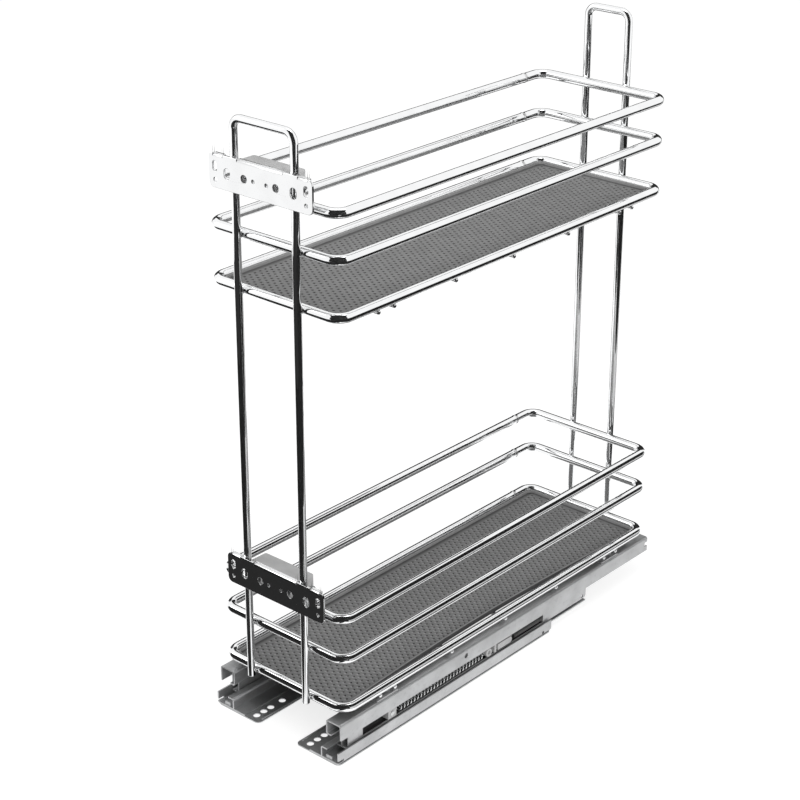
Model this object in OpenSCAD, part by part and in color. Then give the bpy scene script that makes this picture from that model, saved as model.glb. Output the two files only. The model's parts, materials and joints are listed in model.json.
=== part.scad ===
// Pull-out larder unit for a narrow kitchen cabinet.
// Two wire baskets with mats hang between a front and a rear wire hoop, two brackets carry the
// cabinet's door, and a pair of full-extension slides with spring closing carries the whole.
// Z = 0 is the cabinet floor, X = 0 the middle plane, and the unit pulls out towards -Y.

/* [Baskets] */
// Width of a basket over its ring wire
basket_w = 155; // [146:1:170]
// Depth of a basket over its ring wire
basket_d = 457; // [420:1:500]
// Thickness of the ring wire
rail_d = 9; // [7:0.5:10]
// Corner radius of a ring, on the wire's middle line
ring_corner_r = 12; // [10:1:25]
// Height of the middle ring over the bottom ring
middle_rise = 49.5; // [30:0.5:60]
// Height of the top ring over the bottom ring
top_rise = 89; // [75:0.5:130]
// Height of the upper basket over the lower one
basket_rise = 367; // [280:1:450]
// Thickness of the cross wires under a basket
wire_d = 4; // [3:0.5:6]
// Spacing of the paired cross wires that lie on a carrier
pair_gap = 19.5; // [14:0.5:22]
// Distance from the front and rear ring wire to the middle of a pair
pair_inset = 55.75; // [40:0.25:80]
// Number of single cross wires between the pairs
single_wires = 3; // [1:1:6]

/* [Mats] */
// Thickness of a mat's floor
mat_t = 2; // [1.5:0.1:3]
// Height of a mat's rim over its underside
mat_h = 6.5; // [4:0.5:9]
// Thickness of a mat's rim
mat_rim_t = 1.6; // [1.2:0.1:2.5]

/* [Hoops] */
// Thickness of the hoop wire
hoop_d = 7; // [5:0.5:8]
// Width of the front hoop between the middle lines of its legs
front_hoop_w = 68.2; // [66:0.2:84]
// Width of the rear hoop between the middle lines of its legs
rear_hoop_w = 47.2; // [40:0.2:90]
// Height of the front hoop's bar over the upper basket's top ring
front_hoop_rise = 61; // [45:1:120]
// Height of the rear hoop's bar over the upper basket's top ring
rear_hoop_rise = 73; // [30:1:120]
// Bend radius of the hoops, on the wire's middle line
hoop_bend_r = 9; // [7:0.5:16]
// Length of the legs below the middle of the lowest ring
leg_drop = 4.7; // [0:0.1:8]

/* [Door brackets] */
// Width of a door plate
plate_w = 117; // [112:1:130]
// Height of a door plate
plate_h = 29.5; // [28:0.5:40]
// Sheet thickness of a door plate
plate_t = 2; // [1.5:0.25:2.5]
// Depth of the folded top edge, from the plate's front
plate_fold = 4.5; // [4:0.25:7]
// Corner radius of a door plate
plate_corner_r = 5; // [3:0.5:8]
// Lowest edge of a plate below the middle of the top ring
plate_drop = 1; // [0:0.5:3]
// Travel of a plate to each side of its middle setting
plate_adjust = 4.5; // [2:0.5:5]
// Sideways setting of the lower plate
lower_setting = 4.5; // [0:0.5:4.5]
// Depth of the block behind a plate
block_d = 21.2; // [20.5:0.1:26]
// Height of the row of holes over the plate's lowest edge
row_z = 14.2; // [13:0.1:16]

/* [Slides] */
// Distance of the cabinet rails' outer faces inside the basket's width
slide_inset = 1; // [0:0.5:3]
// Length of the cabinet rails and their mounting plates
cabinet_l = 306; // [290:1:340]
// Front end of the cabinet rails before the front ring wire
cabinet_front = 12; // [8:0.5:13]
// Length of the middle rails
middle_l = 350; // [345:1:380]
// Front end of the middle rails behind the front ring wire
middle_front = 4; // [2:0.5:8]
// Front end of the runner rails before the front ring wire
runner_front = 7.5; // [4:0.5:10]
// Full pull-out travel
travel = 420; // [300:5:420]
// Sheet thickness of the cabinet and runner rails
rail_sheet = 1.5; // [1.2:0.1:1.6]
// Sheet thickness of the middle rails
middle_sheet = 1.4; // [1.2:0.1:1.6]
// Sheet thickness of the mounting plates
mount_sheet = 1.2; // [1:0.1:2]
// Height of the cabinet rails over the cabinet floor
cabinet_h = 13; // [12.5:0.1:13.2]
// Width of a cabinet rail's channel, over both walls
cabinet_channel = 21.5; // [21:0.1:23]
// Width of a runner rail over both walls
runner_w = 18; // [17:0.1:18.5]
// Height of a middle rail
middle_h = 25.6; // [25.2:0.1:28]
// Balls between the cabinet and middle rails
lower_ball_d = 4.3; // [4:0.1:5]
// Balls between the middle and runner rails
upper_ball_d = 3.7; // [3:0.1:4]
// Reach of a mounting plate inwards from the rail's outer face
mount_reach = 53; // [48:0.5:58]
// Screw holes in the mounting plates
floor_hole_d = 6.5; // [4:0.5:6.5]

/* [Closing mechanism] */
// Outer diameter of a closing spring
spring_od = 8.2; // [6:0.1:8.2]
// Wire of a closing spring
spring_wire = 1.2; // [0.8:0.1:1.6]
// Curls of a closing spring
spring_curls = 27; // [15:1:30]
// Damper cylinder
damper_d = 7.4; // [6:0.1:7.6]
// Length of the window in a middle rail
window_l = 261; // [245:1:280]

/* [Hidden] */
$fn = 48;

// Clearances
slide_gap = 0.3;
seat_gap = 0.1;
window_gap = 0.3;
fold_r = 0.8;

// Ring and hoop places, along Y from the middle of the front ring wire
ring_w = basket_w - rail_d;
ring_d = basket_d - rail_d;
leg_offset = (rail_d + hoop_d) / 2;
plate_back = leg_offset + hoop_d / 2;
front_reach = max(plate_back + plate_t, cabinet_front, runner_front);
runner_back = ring_d + rail_d;
rear_reach = max(ring_d + leg_offset + hoop_d / 2, runner_back);
front_y = (front_reach - rear_reach) / 2;
rear_y = front_y + ring_d;
front_leg_y = front_y - leg_offset;
rear_leg_y = rear_y + leg_offset;

// Slide section, heights over the cabinet floor
base_top = mount_sheet + rail_sheet;
middle_z = base_top + lower_ball_d + 2 * slide_gap;
middle_top = middle_z + middle_h;
runner_under = middle_top + upper_ball_d + 2 * slide_gap;
runner_top = runner_under + rail_sheet;
runner_inner_drop = 15;
runner_outer_drop = 15.5;
// Slide section, distances from the middle plane on the right
runner_inset = 1;
skirt_gap = 0.5;
skirt_depth = 8.4;
flange_gap = 1.1;
lip_gap = 0.8;
flange_lap = 2;
slide_out = basket_w / 2 - slide_inset;
cabinet_in = slide_out - cabinet_channel;
runner_out = slide_out - runner_inset;
runner_in = runner_out - runner_w;
skirt_out = runner_out - rail_sheet - skirt_gap;
middle_web = skirt_out - skirt_depth;
lower_flange_in = cabinet_in + rail_sheet + flange_gap;
upper_flange_in = runner_in + rail_sheet + flange_gap;
cabinet_lip = 7.5;
cabinet_foot = 14;
runner_lip = middle_web - middle_sheet / 2 - lip_gap - runner_in;
skirt_low = cabinet_h - 1;

// Heights of the rings
carrier_h = 3.5;
wire_z = runner_top + carrier_h + wire_d / 2;
lower_z = wire_z + (wire_d + rail_d) / 2;
upper_z = lower_z + basket_rise;

// Slide ends along Y
cabinet_y0 = front_y - cabinet_front;
cabinet_y1 = cabinet_y0 + cabinet_l;
middle_y0 = front_y + middle_front;
middle_y1 = middle_y0 + middle_l;
runner_y0 = front_y - runner_front;
runner_y1 = front_y + runner_back;

// Ball cages and the tabs that stop them when the unit is fully out
tab_l = 1.5;
tab_inset = 1;
tab_w = 7;
tab_side = 3;
tab_gap = 1;
cage_stop_gap = 0.5;
lower_cage_l = 150;
upper_cage_l = 230;
lower_cage_y = cabinet_y0 + tab_inset + tab_l + cage_stop_gap + travel / 4;
upper_cage_y = middle_y0 + tab_inset + tab_l + cage_stop_gap + travel / 4;
cage_gap = 0.5;
cage_wall = 1;
lower_cage_t = 2;
upper_cage_t = 1.6;
function row_xs(flange_in, d) = let (inset = cage_gap + cage_wall + d / 2)
    [flange_in + inset, skirt_out - inset];
lower_rows = row_xs(lower_flange_in, lower_ball_d);
upper_rows = row_xs(upper_flange_in, upper_ball_d);
lower_row_balls = 7;
upper_row_balls = 10;

// Closing mechanism in the middle rail's window
window_front = 19;
window_y0 = middle_y0 + window_front;
window_y1 = window_y0 + window_l;
window_low = cabinet_h + window_gap;
window_high = runner_top - runner_outer_drop - window_gap;
mech_z = (window_low + window_high) / 2;
housing_t = 1;
housing_wall = 1.2;
housing_h = 15.6;
housing_low = mech_z - housing_h / 2;
mech_seat = middle_web + middle_sheet / 2 + housing_t;
spring_x = mech_seat + spring_od / 2 + seat_gap;
anchor_front = 33;
anchor_y0 = window_y0 + anchor_front;
anchor_l = 11;
anchor_h = 8.4;
anchor_reach = 3.3;
anchor_out = spring_x + anchor_reach;
pin_d = 4;
pin_head_d = 5.6;
pin_head_h = 0.8;
spring_y0 = anchor_y0 + anchor_l;
damper_l = 44;
damper_y0 = window_y1 - damper_l - housing_wall;
catch_l = 38.9;
damper_stroke = 5;
damper_bore = 2.4;
damper_rod_d = 2.2;
rod_reach = 6;
catch_y0 = damper_y0 - damper_stroke - catch_l;
catch_h = 7.6;
catch_base_t = 3;
catch_reach = 3.7;
catch_post_r = 4.2;
catch_post_hole_r = 1.9;
catch_tooth_y = 12.2;
catch_tooth_t = 2.8;
catch_tooth_h = 8.4;
catch_bar_y = 17.5;
catch_bar_h = 6.2;

// Door bracket
hole_row_small_x = 7.5;
hole_row_small_d = 3.4;
hole_row_round_x = 18;
hole_row_round_d = 6.8;
hole_row_oval_x = 37.5;
hole_row_oval = [7, 9.5];
door_slot_x = 51.5;
door_slot = [5, 9];
door_slot_z = 18.7;
door_hole_d = 3.6;
door_hole_z = 7;
notch_half = hoop_d / 2 + plate_adjust + slide_gap;
block_gap = slide_gap;
block_side_gap = 1;
block_w = front_hoop_w - hoop_d - 2 * block_side_gap;
block_corner_r = 2;
block_low = rail_d / 2;
block_top = plate_h - plate_drop - plate_t - slide_gap;
block_ear = 3;
ear_inset = 2;
slot_depth = 3.5;
slider_half_w = 10.5;
slider_half_h = 4.7;
slider_front = slot_depth + slide_gap;
slider_back = 1.7;
slider_rear = block_d - slider_back;
slider_rivet_depth = 5;
slider_rivet_recess = 0.4;
adjuster_back = 4.2;
adjuster_y = block_d - adjuster_back;
adjuster_d = 4;
adjuster_head_d = 7;
adjuster_head_h = 2.2;
clamp_head_d = 6;
clamp_head_h = 2.4;
clamp_shank_d = 4;
clamp_screw_l = 11.5;
drive_w = 0.9;
drive_l = 3.6;
drive_depth = 1.4;

// Basic shapes

// Rod along X from x0 to x1
module rod_x(x0, x1, d) translate([x0, 0, 0]) rotate([0, 90, 0]) cylinder(d = d, h = x1 - x0);

// Rod along Y from y0 to y1
module rod_y(y0, y1, d) translate([0, y0, 0]) rotate([-90, 0, 0]) cylinder(d = d, h = y1 - y0);

// Rod along Z from z0 to z1
module rod_z(z0, z1, d) translate([0, 0, z0]) cylinder(d = d, h = z1 - z0);

// Section in X and Z, drawn out along Y
module along_y(y0, y1) translate([0, y1, 0]) rotate([90, 0, 0]) linear_extrude(y1 - y0) children();

// Section in Y and Z, drawn out along X
module along_x(x0, x1) translate([x0, 0, 0]) rotate([90, 0, 90]) linear_extrude(x1 - x0) children();

// Rectangle with round corners, about its middle
module rounded(w, d, r) {
    square([w - 2 * r, d], center = true);
    square([w, d - 2 * r], center = true);
    for (x = [-1, 1], y = [-1, 1]) translate([x * (w / 2 - r), y * (d / 2 - r)]) circle(r);
}

// Upright slot with round ends, about its middle
module slot(w, h) {
    square([w, h - w], center = true);
    for (s = [-1, 1]) translate([0, s * (h - w) / 2]) circle(d = w);
}

// Waste outside the rounded corner of a sheet, from the start of the corner's arc
module corner_waste(r) difference() {
    translate([0, -1]) square([r + 1, r + 1]);
    translate([0, r]) circle(r);
}

// Cross recess of a screw head, sunk along Z from z = 0
module drive_cross() for (turn = [0, 90]) rotate(turn)
    translate([-drive_l / 2, -drive_w / 2, -drive_depth]) cube([drive_l, drive_w, drive_depth + 1]);

// Quarter bend of a round wire in the XY plane, from +X to +Y about the origin
module wire_bend(r, d) rotate_extrude(angle = 90) translate([r, 0]) circle(d = d);

function unit(v) = v / norm(v);

// Section of a sheet folded square along a path on its middle line
module folded(path, t) {
    bend = fold_r + t / 2;
    last = len(path) - 1;
    for (i = [0:last - 1]) {
        u = unit(path[i + 1] - path[i]);
        from = path[i] + (i == 0 ? 0 : bend) * u;
        to = path[i + 1] - (i == last - 1 ? 0 : bend) * u;
        translate(from) rotate(atan2(u.y, u.x)) translate([0, -t / 2]) square([norm(to - from), t]);
    }
    if (last > 1) for (i = [1:last - 1]) {
        u = unit(path[i] - path[i - 1]);
        v = unit(path[i + 1] - path[i]);
        centre = path[i] - bend * u + bend * v;
        reach = bend + t;
        intersection() {
            translate(centre) difference() {
                circle(bend + t / 2);
                circle(bend - t / 2);
            }
            polygon([centre, centre - reach * v, centre - reach * v + reach * u, centre + reach * u]);
        }
    }
}

// Draws a part on the right side (1) or mirrored on the left side (-1)
module on_side(side) mirror([side < 0 ? 1 : 0, 0, 0]) children();

// Baskets

// Wire ring with its front wire on y = 0
module ring() {
    r = ring_corner_r;
    for (s = [-1, 1]) translate([s * ring_w / 2, 0, 0]) rod_y(r, ring_d - r, rail_d);
    for (y = [0, ring_d]) translate([0, y, 0]) rod_x(r - ring_w / 2, ring_w / 2 - r, rail_d);
    translate([ring_w / 2 - r, ring_d - r, 0]) wire_bend(r, rail_d);
    translate([r - ring_w / 2, ring_d - r, 0]) rotate(90) wire_bend(r, rail_d);
    translate([r - ring_w / 2, r, 0]) rotate(180) wire_bend(r, rail_d);
    translate([ring_w / 2 - r, r, 0]) rotate(270) wire_bend(r, rail_d);
}

module ring_at(z) color("gainsboro") translate([0, front_y, z]) ring();

// Places of the cross wires behind the front ring wire: a pair over each carrier, singles between
near_wire = pair_inset + pair_gap / 2;
single_step = (ring_d - 2 * near_wire) / (single_wires + 1);
wire_ys = concat([pair_inset - pair_gap / 2, near_wire],
    [for (i = [1:single_wires]) near_wire + i * single_step],
    [ring_d - near_wire, ring_d - pair_inset + pair_gap / 2]);

// Cross wires welded under a bottom ring
module support_wires(ring_z) {
    half = ring_w / 2 + 2;
    color("gainsboro") for (y = wire_ys)
        translate([0, front_y + y, ring_z - (rail_d + wire_d) / 2]) rod_x(-half, half, wire_d);
}

// Tray-shaped mat that lies on the cross wires inside a bottom ring
module mat(ring_z) {
    w = ring_w - rail_d - 2 * slide_gap;
    d = ring_d - rail_d - 2 * slide_gap;
    r = ring_corner_r - rail_d / 2 - slide_gap;
    color("dimgray") translate([0, front_y + ring_d / 2, ring_z - rail_d / 2]) difference() {
        linear_extrude(mat_h) rounded(w, d, r);
        translate([0, 0, mat_t]) linear_extrude(mat_h)
            rounded(w - 2 * mat_rim_t, d - 2 * mat_rim_t, r - mat_rim_t);
    }
}

// Hoops

// Upright hoop in the plane y = 0
module hoop(w, z0, z1) {
    r = hoop_bend_r;
    for (s = [-1, 1]) translate([s * w / 2, 0, 0]) rod_z(z0, z1 - r, hoop_d);
    translate([w / 2 - r, 0, z1 - r]) rotate([90, 0, 0]) wire_bend(r, hoop_d);
    translate([r - w / 2, 0, z1 - r]) rotate([90, -90, 0]) wire_bend(r, hoop_d);
    translate([0, 0, z1]) rod_x(r - w / 2, w / 2 - r, hoop_d);
}

module front_hoop() color("gainsboro") translate([0, front_leg_y, 0])
    hoop(front_hoop_w, lower_z - leg_drop, upper_z + top_rise + front_hoop_rise);

module rear_hoop() color("gainsboro") translate([0, rear_leg_y, 0])
    hoop(rear_hoop_w, lower_z - leg_drop, upper_z + top_rise + rear_hoop_rise);

// Door brackets, each drawn about the plane x = 0, with y = 0 on the plate's back and z = 0 on
// the middle of the top ring

module at_bracket(ring_z) translate([0, front_y - plate_back, ring_z + top_rise]) children();

// Openings of a door plate, as an outline about the middle of its width, from its lowest edge
module plate_holes() {
    for (s = [-1, 1]) {
        translate([s * hole_row_small_x, row_z]) circle(d = hole_row_small_d);
        translate([s * hole_row_round_x, row_z]) circle(d = hole_row_round_d);
        translate([s * hole_row_oval_x, row_z]) slot(hole_row_oval.x, hole_row_oval.y);
        translate([s * door_slot_x, door_slot_z]) slot(door_slot.x, door_slot.y);
        translate([s * door_slot_x, door_hole_z]) circle(d = door_hole_d);
    }
}

// Lengths of folded edge along the plate's top, between and outside the legs
fold_runs = [[-plate_w / 2 + plate_corner_r, -front_hoop_w / 2 - notch_half],
    [-front_hoop_w / 2 + notch_half, front_hoop_w / 2 - notch_half],
    [front_hoop_w / 2 + notch_half, plate_w / 2 - plate_corner_r]];

// Door plate with its folded top edge, notched where the hoop's legs pass
module door_plate(ring_z, setting) {
    bend = fold_r + plate_t;
    color("silver") at_bracket(ring_z) translate([setting, 0, -plate_drop]) {
        difference() {
            along_y(-plate_t, 0) difference() {
                translate([0, plate_h / 2]) rounded(plate_w, plate_h, plate_corner_r);
                plate_holes();
            }
            for (run = fold_runs) translate([run[0], -plate_t - 1, plate_h - bend])
                cube([run[1] - run[0], plate_t + 2, bend + 1]);
        }
        for (run = fold_runs) along_x(run[0], run[1])
            folded([[-plate_t / 2, plate_h - 2 * bend], [-plate_t / 2, plate_h - plate_t / 2],
                [plate_fold - plate_t, plate_h - plate_t / 2]], plate_t);
    }
}

// Block between the hoop's legs that stands on the top ring and holds the plate's slider
module clamp_block(ring_z) {
    hole_z = row_z - plate_drop;
    color("darkgray") at_bracket(ring_z) difference() {
        union() {
            translate([0, block_gap + block_d / 2, block_low])
                linear_extrude(block_top - block_low) rounded(block_w, block_d, block_corner_r);
            translate([-block_w / 2 - block_ear, block_gap, block_low + ear_inset])
                cube([block_w + 2 * block_ear, hoop_d + 1, block_top - block_low - 2 * ear_inset]);
        }
        for (s = [-1, 1]) translate([s * front_hoop_w / 2, hoop_d / 2, 0])
            rod_z(0, plate_h, hoop_d + seat_gap);
        for (s = [-1, 1]) translate([s * hole_row_round_x, 0, hole_z]) {
            rod_y(0, block_gap + clamp_head_h, clamp_head_d + 2 * seat_gap);
            rod_y(0, block_gap + clamp_head_h + clamp_screw_l, clamp_shank_d + 2 * seat_gap);
        }
        neck = hole_row_small_x + plate_adjust + hole_row_small_d / 2 + slide_gap;
        translate([-neck, 0, hole_z - hole_row_small_d / 2 - slide_gap])
            cube([2 * neck, block_d, hole_row_small_d + 2 * slide_gap]);
        pocket = slider_half_w + plate_adjust + slide_gap;
        translate([-pocket, block_gap + slot_depth, hole_z - slider_half_h - slide_gap])
            cube([2 * pocket, block_d, 2 * (slider_half_h + slide_gap)]);
        translate([0, block_gap + adjuster_y, hole_z]) rod_x(0, block_w, adjuster_d + 2 * seat_gap);
    }
}

// Pair of screws that draw the block onto the hoop's legs
module clamp_screws(ring_z) color("silver") at_bracket(ring_z) for (s = [-1, 1])
    translate([s * hole_row_round_x, block_gap, row_z - plate_drop]) difference() {
        union() {
            rod_y(0, clamp_head_h, clamp_head_d);
            rod_y(clamp_head_h, clamp_head_h + clamp_screw_l, clamp_shank_d);
        }
        rotate([90, 0, 0]) drive_cross();
    }

// Screw along X whose thread draws the slider sideways
module adjuster_screw(ring_z) color("silver") at_bracket(ring_z)
    translate([0, block_gap + adjuster_y, row_z - plate_drop]) difference() {
        union() {
            rod_x(block_w / 2, block_w / 2 + adjuster_head_h, adjuster_head_d);
            rod_x(-slider_half_w - plate_adjust, block_w / 2, adjuster_d);
        }
        translate([block_w / 2 + adjuster_head_h, 0, 0]) rotate([0, 90, 0]) drive_cross();
    }

// Slider in the block's pocket, riveted to the door plate
module plate_slider(ring_z, setting) color("slategray") at_bracket(ring_z)
    translate([setting, block_gap, row_z - plate_drop]) difference() {
        translate([-slider_half_w, slider_front, -slider_half_h])
            cube([2 * slider_half_w, slider_rear - slider_front, 2 * slider_half_h]);
        for (s = [-1, 1]) translate([s * hole_row_small_x, 0, 0])
            rod_y(0, slider_front + slider_rivet_depth, hole_row_small_d);
        translate([0, adjuster_y, 0])
            rod_x(-2 * slider_half_w, 2 * slider_half_w, adjuster_d + 2 * slide_gap);
    }

// Pair of rivets that join a door plate and its slider
module slider_rivets(ring_z, setting) color("silver") at_bracket(ring_z) for (s = [-1, 1])
    translate([setting + s * hole_row_small_x, 0, row_z - plate_drop])
        rod_y(slider_rivet_recess - plate_t, block_gap + slider_front + slider_rivet_depth,
            hole_row_small_d - seat_gap);

// Slides, drawn on the right side

carrier_t = 1.5;
carrier_flange_t = 1.2;
carrier_flange_drop = 2;
carrier_margin = 4;
carrier_step = 3;
carrier_end = 1.5;
rivet_x = (runner_in + runner_out) / 2;
rivet_half = 6;
rivet_d = 4.2;
rivet_head_d = 7.4;
rivet_head_h = 1.1;
carrier_ys = [pair_inset, ring_d - pair_inset];

// Cross carrier between the runner rails, under a pair of cross wires
module carrier(y) {
    t = carrier_t;
    pad_in = runner_in + slide_gap;
    pad_out = runner_out - carrier_end;
    step_in = pad_in - carrier_step;
    half_w = pair_gap / 2 + carrier_margin;
    edge = [[step_in, carrier_h - t], [pad_in, 0], [pad_out, 0], [pad_out, t],
        [pad_in + t / 2, t], [step_in + t / 2, carrier_h]];
    color("silver") translate([0, front_y + y, runner_top]) difference() {
        union() {
            along_y(-half_w, half_w)
                polygon(concat(edge, [for (i = [len(edge) - 1:-1:0]) [-edge[i].x, edge[i].y]]));
            for (end = [-half_w, half_w - carrier_flange_t])
                translate([carrier_step - step_in, end, -carrier_flange_drop])
                    cube([2 * (step_in - carrier_step), carrier_flange_t, carrier_h + carrier_flange_drop]);
        }
        for (x = [-1, 1], s = [-1, 1]) translate([x * rivet_x, s * rivet_half, 0])
            rod_z(-1, t + 1, rivet_d + seat_gap);
    }
}

// Rivets that hold the carriers on the runner rails, flush underneath
module carrier_rivets() color("silver")
    for (y = carrier_ys, x = [-1, 1], s = [-1, 1])
        translate([x * rivet_x, front_y + y + s * rivet_half, 0]) {
            rod_z(runner_under, runner_top + carrier_t, rivet_d);
            rod_z(runner_top + carrier_t, runner_top + carrier_t + rivet_head_h, rivet_head_d);
        }

// Screw holes of a mounting plate, from each of its ends
floor_holes = [8.5, 17.5, 26.5, 41.5];
floor_hole_reach = 42.5;
floor_hole_x = slide_out - floor_hole_reach;
mount_corner_r = 5;
bead_d = 1.6 * mount_sheet;
bead_inset = 2;
bead_end = 7;

// Plate under a cabinet rail, screwed to the cabinet floor
module mounting_plate(side) on_side(side) color("gray") {
    x0 = slide_out - mount_reach;
    difference() {
        translate([x0 + mount_reach / 2, cabinet_y0 + cabinet_l / 2, 0])
            linear_extrude(mount_sheet) rounded(mount_reach, cabinet_l, mount_corner_r);
        for (end = [0, 1], step = floor_holes)
            translate([floor_hole_x, end == 0 ? cabinet_y0 + step : cabinet_y1 - step, 0])
                rod_z(-1, mount_sheet + 1, floor_hole_d);
    }
    // Bead along the free edge
    translate([x0 + bead_inset, 0, mount_sheet])
        rod_y(cabinet_y0 + bead_end, cabinet_y1 - bead_end, bead_d);
}

// Small punched holes and marks of the rails
punch_d = 3.4;
punch_rise = 2.8;
cabinet_punch_inset = 13;
middle_punch_inset = 6;
cabinet_notch_l = 7;
cabinet_notch_h = 2;
cabinet_corner_r = 4;
middle_corner_r = 3;
runner_notch_l = 4.5;
runner_notch_h = 4.5;
runner_notch_drop = 5.5;
runner_hole_d = 5;
runner_hole_drop = 7.5;
runner_hole_y = 171.5;

// Channel that the middle rail's lower flange runs in
module cabinet_rail(side) on_side(side) color("silver") {
    t = rail_sheet;
    floor_z = mount_sheet + t / 2;
    web = cabinet_in + t / 2;
    wall = slide_out - t / 2;
    difference() {
        along_y(cabinet_y0, cabinet_y1) {
            folded([[web, floor_z], [web, cabinet_h - t / 2],
                [cabinet_in + cabinet_lip, cabinet_h - t / 2]], t);
            folded([[cabinet_in - cabinet_foot, floor_z], [wall, floor_z], [wall, cabinet_h]], t);
        }
        translate([0, cabinet_y1 - cabinet_punch_inset, mount_sheet + punch_rise])
            rod_x(wall - t, slide_out + 1, punch_d);
        translate([wall - t, cabinet_y0 - 1, mount_sheet + cabinet_notch_h])
            cube([2 * t + 1, cabinet_notch_l + 1, cabinet_notch_h]);
        translate([0, cabinet_y1 - cabinet_corner_r, mount_sheet])
            along_x(wall - t, slide_out + 1) corner_waste(cabinet_corner_r);
    }
    // Tab that stops the lower ball cage
    translate([lower_flange_in + tab_side, cabinet_y0 + tab_inset, base_top])
        cube([tab_w, tab_l, lower_ball_d - tab_gap]);
}

// Middle rail: lower flange on the lower balls, web, upper flange and outer skirt
module middle_rail(side) on_side(side) color("silver") {
    t = middle_sheet;
    skirt = skirt_out - t / 2;
    difference() {
        along_y(middle_y0, middle_y1) {
            folded([[middle_web, middle_z + t / 2], [middle_web, middle_top - t / 2],
                [skirt, middle_top - t / 2], [skirt, skirt_low]], t);
            translate([lower_flange_in, middle_z]) square([skirt_out - lower_flange_in, t]);
            translate([upper_flange_in, middle_top - t])
                square([middle_web + flange_lap - upper_flange_in, t]);
        }
        translate([skirt_out - t - 1, window_y0, window_low])
            cube([t + 2, window_l, window_high - window_low]);
        translate([0, middle_y1 - middle_punch_inset, skirt_low + punch_rise])
            rod_x(skirt - t, skirt_out + 1, punch_d);
        translate([0, middle_y1 - middle_corner_r, skirt_low])
            along_x(skirt - t, skirt_out + 1) corner_waste(middle_corner_r);
    }
    // Tab that stops the upper ball cage
    translate([upper_flange_in + tab_side, middle_y0 + tab_inset, middle_top])
        cube([tab_w, tab_l, upper_ball_d - tab_gap]);
}

// Runner rail that carries the baskets
module runner_rail(side) on_side(side) color("silver") {
    t = rail_sheet;
    top = runner_top - t / 2;
    low = runner_top - runner_inner_drop + t / 2;
    difference() {
        along_y(runner_y0, runner_y1)
            folded([[runner_in + runner_lip, low], [runner_in + t / 2, low], [runner_in + t / 2, top],
                [runner_out - t / 2, top], [runner_out - t / 2, runner_top - runner_outer_drop]], t);
        for (y = carrier_ys, s = [-1, 1]) translate([rivet_x, front_y + y + s * rivet_half, 0])
            rod_z(runner_under - 1, runner_top + 1, rivet_d + seat_gap);
        translate([0, runner_y0 + runner_hole_y, runner_top - runner_hole_drop])
            rod_x(runner_out - 2 * t, runner_out + 1, runner_hole_d);
        translate([runner_out - 2 * t, runner_y1 - runner_notch_l,
            runner_top - runner_notch_drop - runner_notch_h])
            cube([2 * t + 1, runner_notch_l + 1, runner_notch_h]);
    }
}

// Ball places along a cage of length l that starts at y0
function ball_ys(y0, l, n) = [for (i = [0:n - 1]) y0 + l * (i + 0.5) / n];

// Balls of both slides
module balls(xs, ys, z, d) color("lightgray")
    for (side = [-1, 1], x = xs, y = ys) translate([side * x, y, z]) sphere(d = d);

// Flat cages that keep the balls apart
module ball_cages(xs, ys, y0, l, z, d, flange_in, t) color("dimgray") for (side = [-1, 1])
    on_side(side) difference() {
        translate([flange_in + cage_gap, y0, z - t / 2])
            cube([skirt_out - flange_in - 2 * cage_gap, l, t]);
        for (x = xs, y = ys) translate([x, y, 0]) rod_z(z - t, z + t, d + 2 * seat_gap);
    }

lower_ball_z = base_top + slide_gap + lower_ball_d / 2;
upper_ball_z = middle_top + slide_gap + upper_ball_d / 2;
lower_ys = ball_ys(lower_cage_y, lower_cage_l, lower_row_balls);
upper_ys = ball_ys(upper_cage_y, upper_cage_l, upper_row_balls);

module lower_balls() balls(lower_rows, lower_ys, lower_ball_z, lower_ball_d);

module lower_ball_cages() ball_cages(lower_rows, lower_ys, lower_cage_y, lower_cage_l,
    lower_ball_z, lower_ball_d, lower_flange_in, lower_cage_t);

module upper_balls() balls(upper_rows, upper_ys, upper_ball_z, upper_ball_d);

module upper_ball_cages() ball_cages(upper_rows, upper_ys, upper_cage_y, upper_cage_l,
    upper_ball_z, upper_ball_d, upper_flange_in, upper_cage_t);

// Closing mechanism

// Channel fixed to the middle rail's web, open towards the window
module closing_housing(side) on_side(side) color("dimgray") {
    x0 = middle_web + middle_sheet / 2;
    x1 = skirt_out - middle_sheet - slide_gap;
    translate([x0, window_y0, housing_low]) cube([housing_t, window_l, housing_h]);
    for (z = [housing_low, housing_low + housing_h - housing_wall])
        translate([x0, window_y0, z]) cube([x1 - x0, window_l, housing_wall]);
    for (y = [window_y0, window_y1 - housing_wall])
        translate([x0, y, housing_low]) cube([x1 - x0, housing_wall, housing_h]);
}

// Points along a closing spring: a straight end on its axis, an easing curl, the body, and back
spring_r = (spring_od - spring_wire) / 2;
spring_rings = 8;
spring_l = catch_y0 - spring_y0;
lead = 1.5 * spring_wire;
pitch = (spring_l - 2 * lead) / spring_curls;
function spring_ease(turn) = min(1, turn, spring_curls - turn);
function spring_point(turn) = let (r = spring_r * sqrt(spring_ease(turn)), a = 360 * turn)
    [r * cos(a), lead + pitch * turn, r * sin(a)];
spring_path = concat([[0, 0, 0]],
    [for (i = [0:spring_rings * spring_curls]) spring_point(i / spring_rings)], [[0, spring_l, 0]]);

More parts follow.
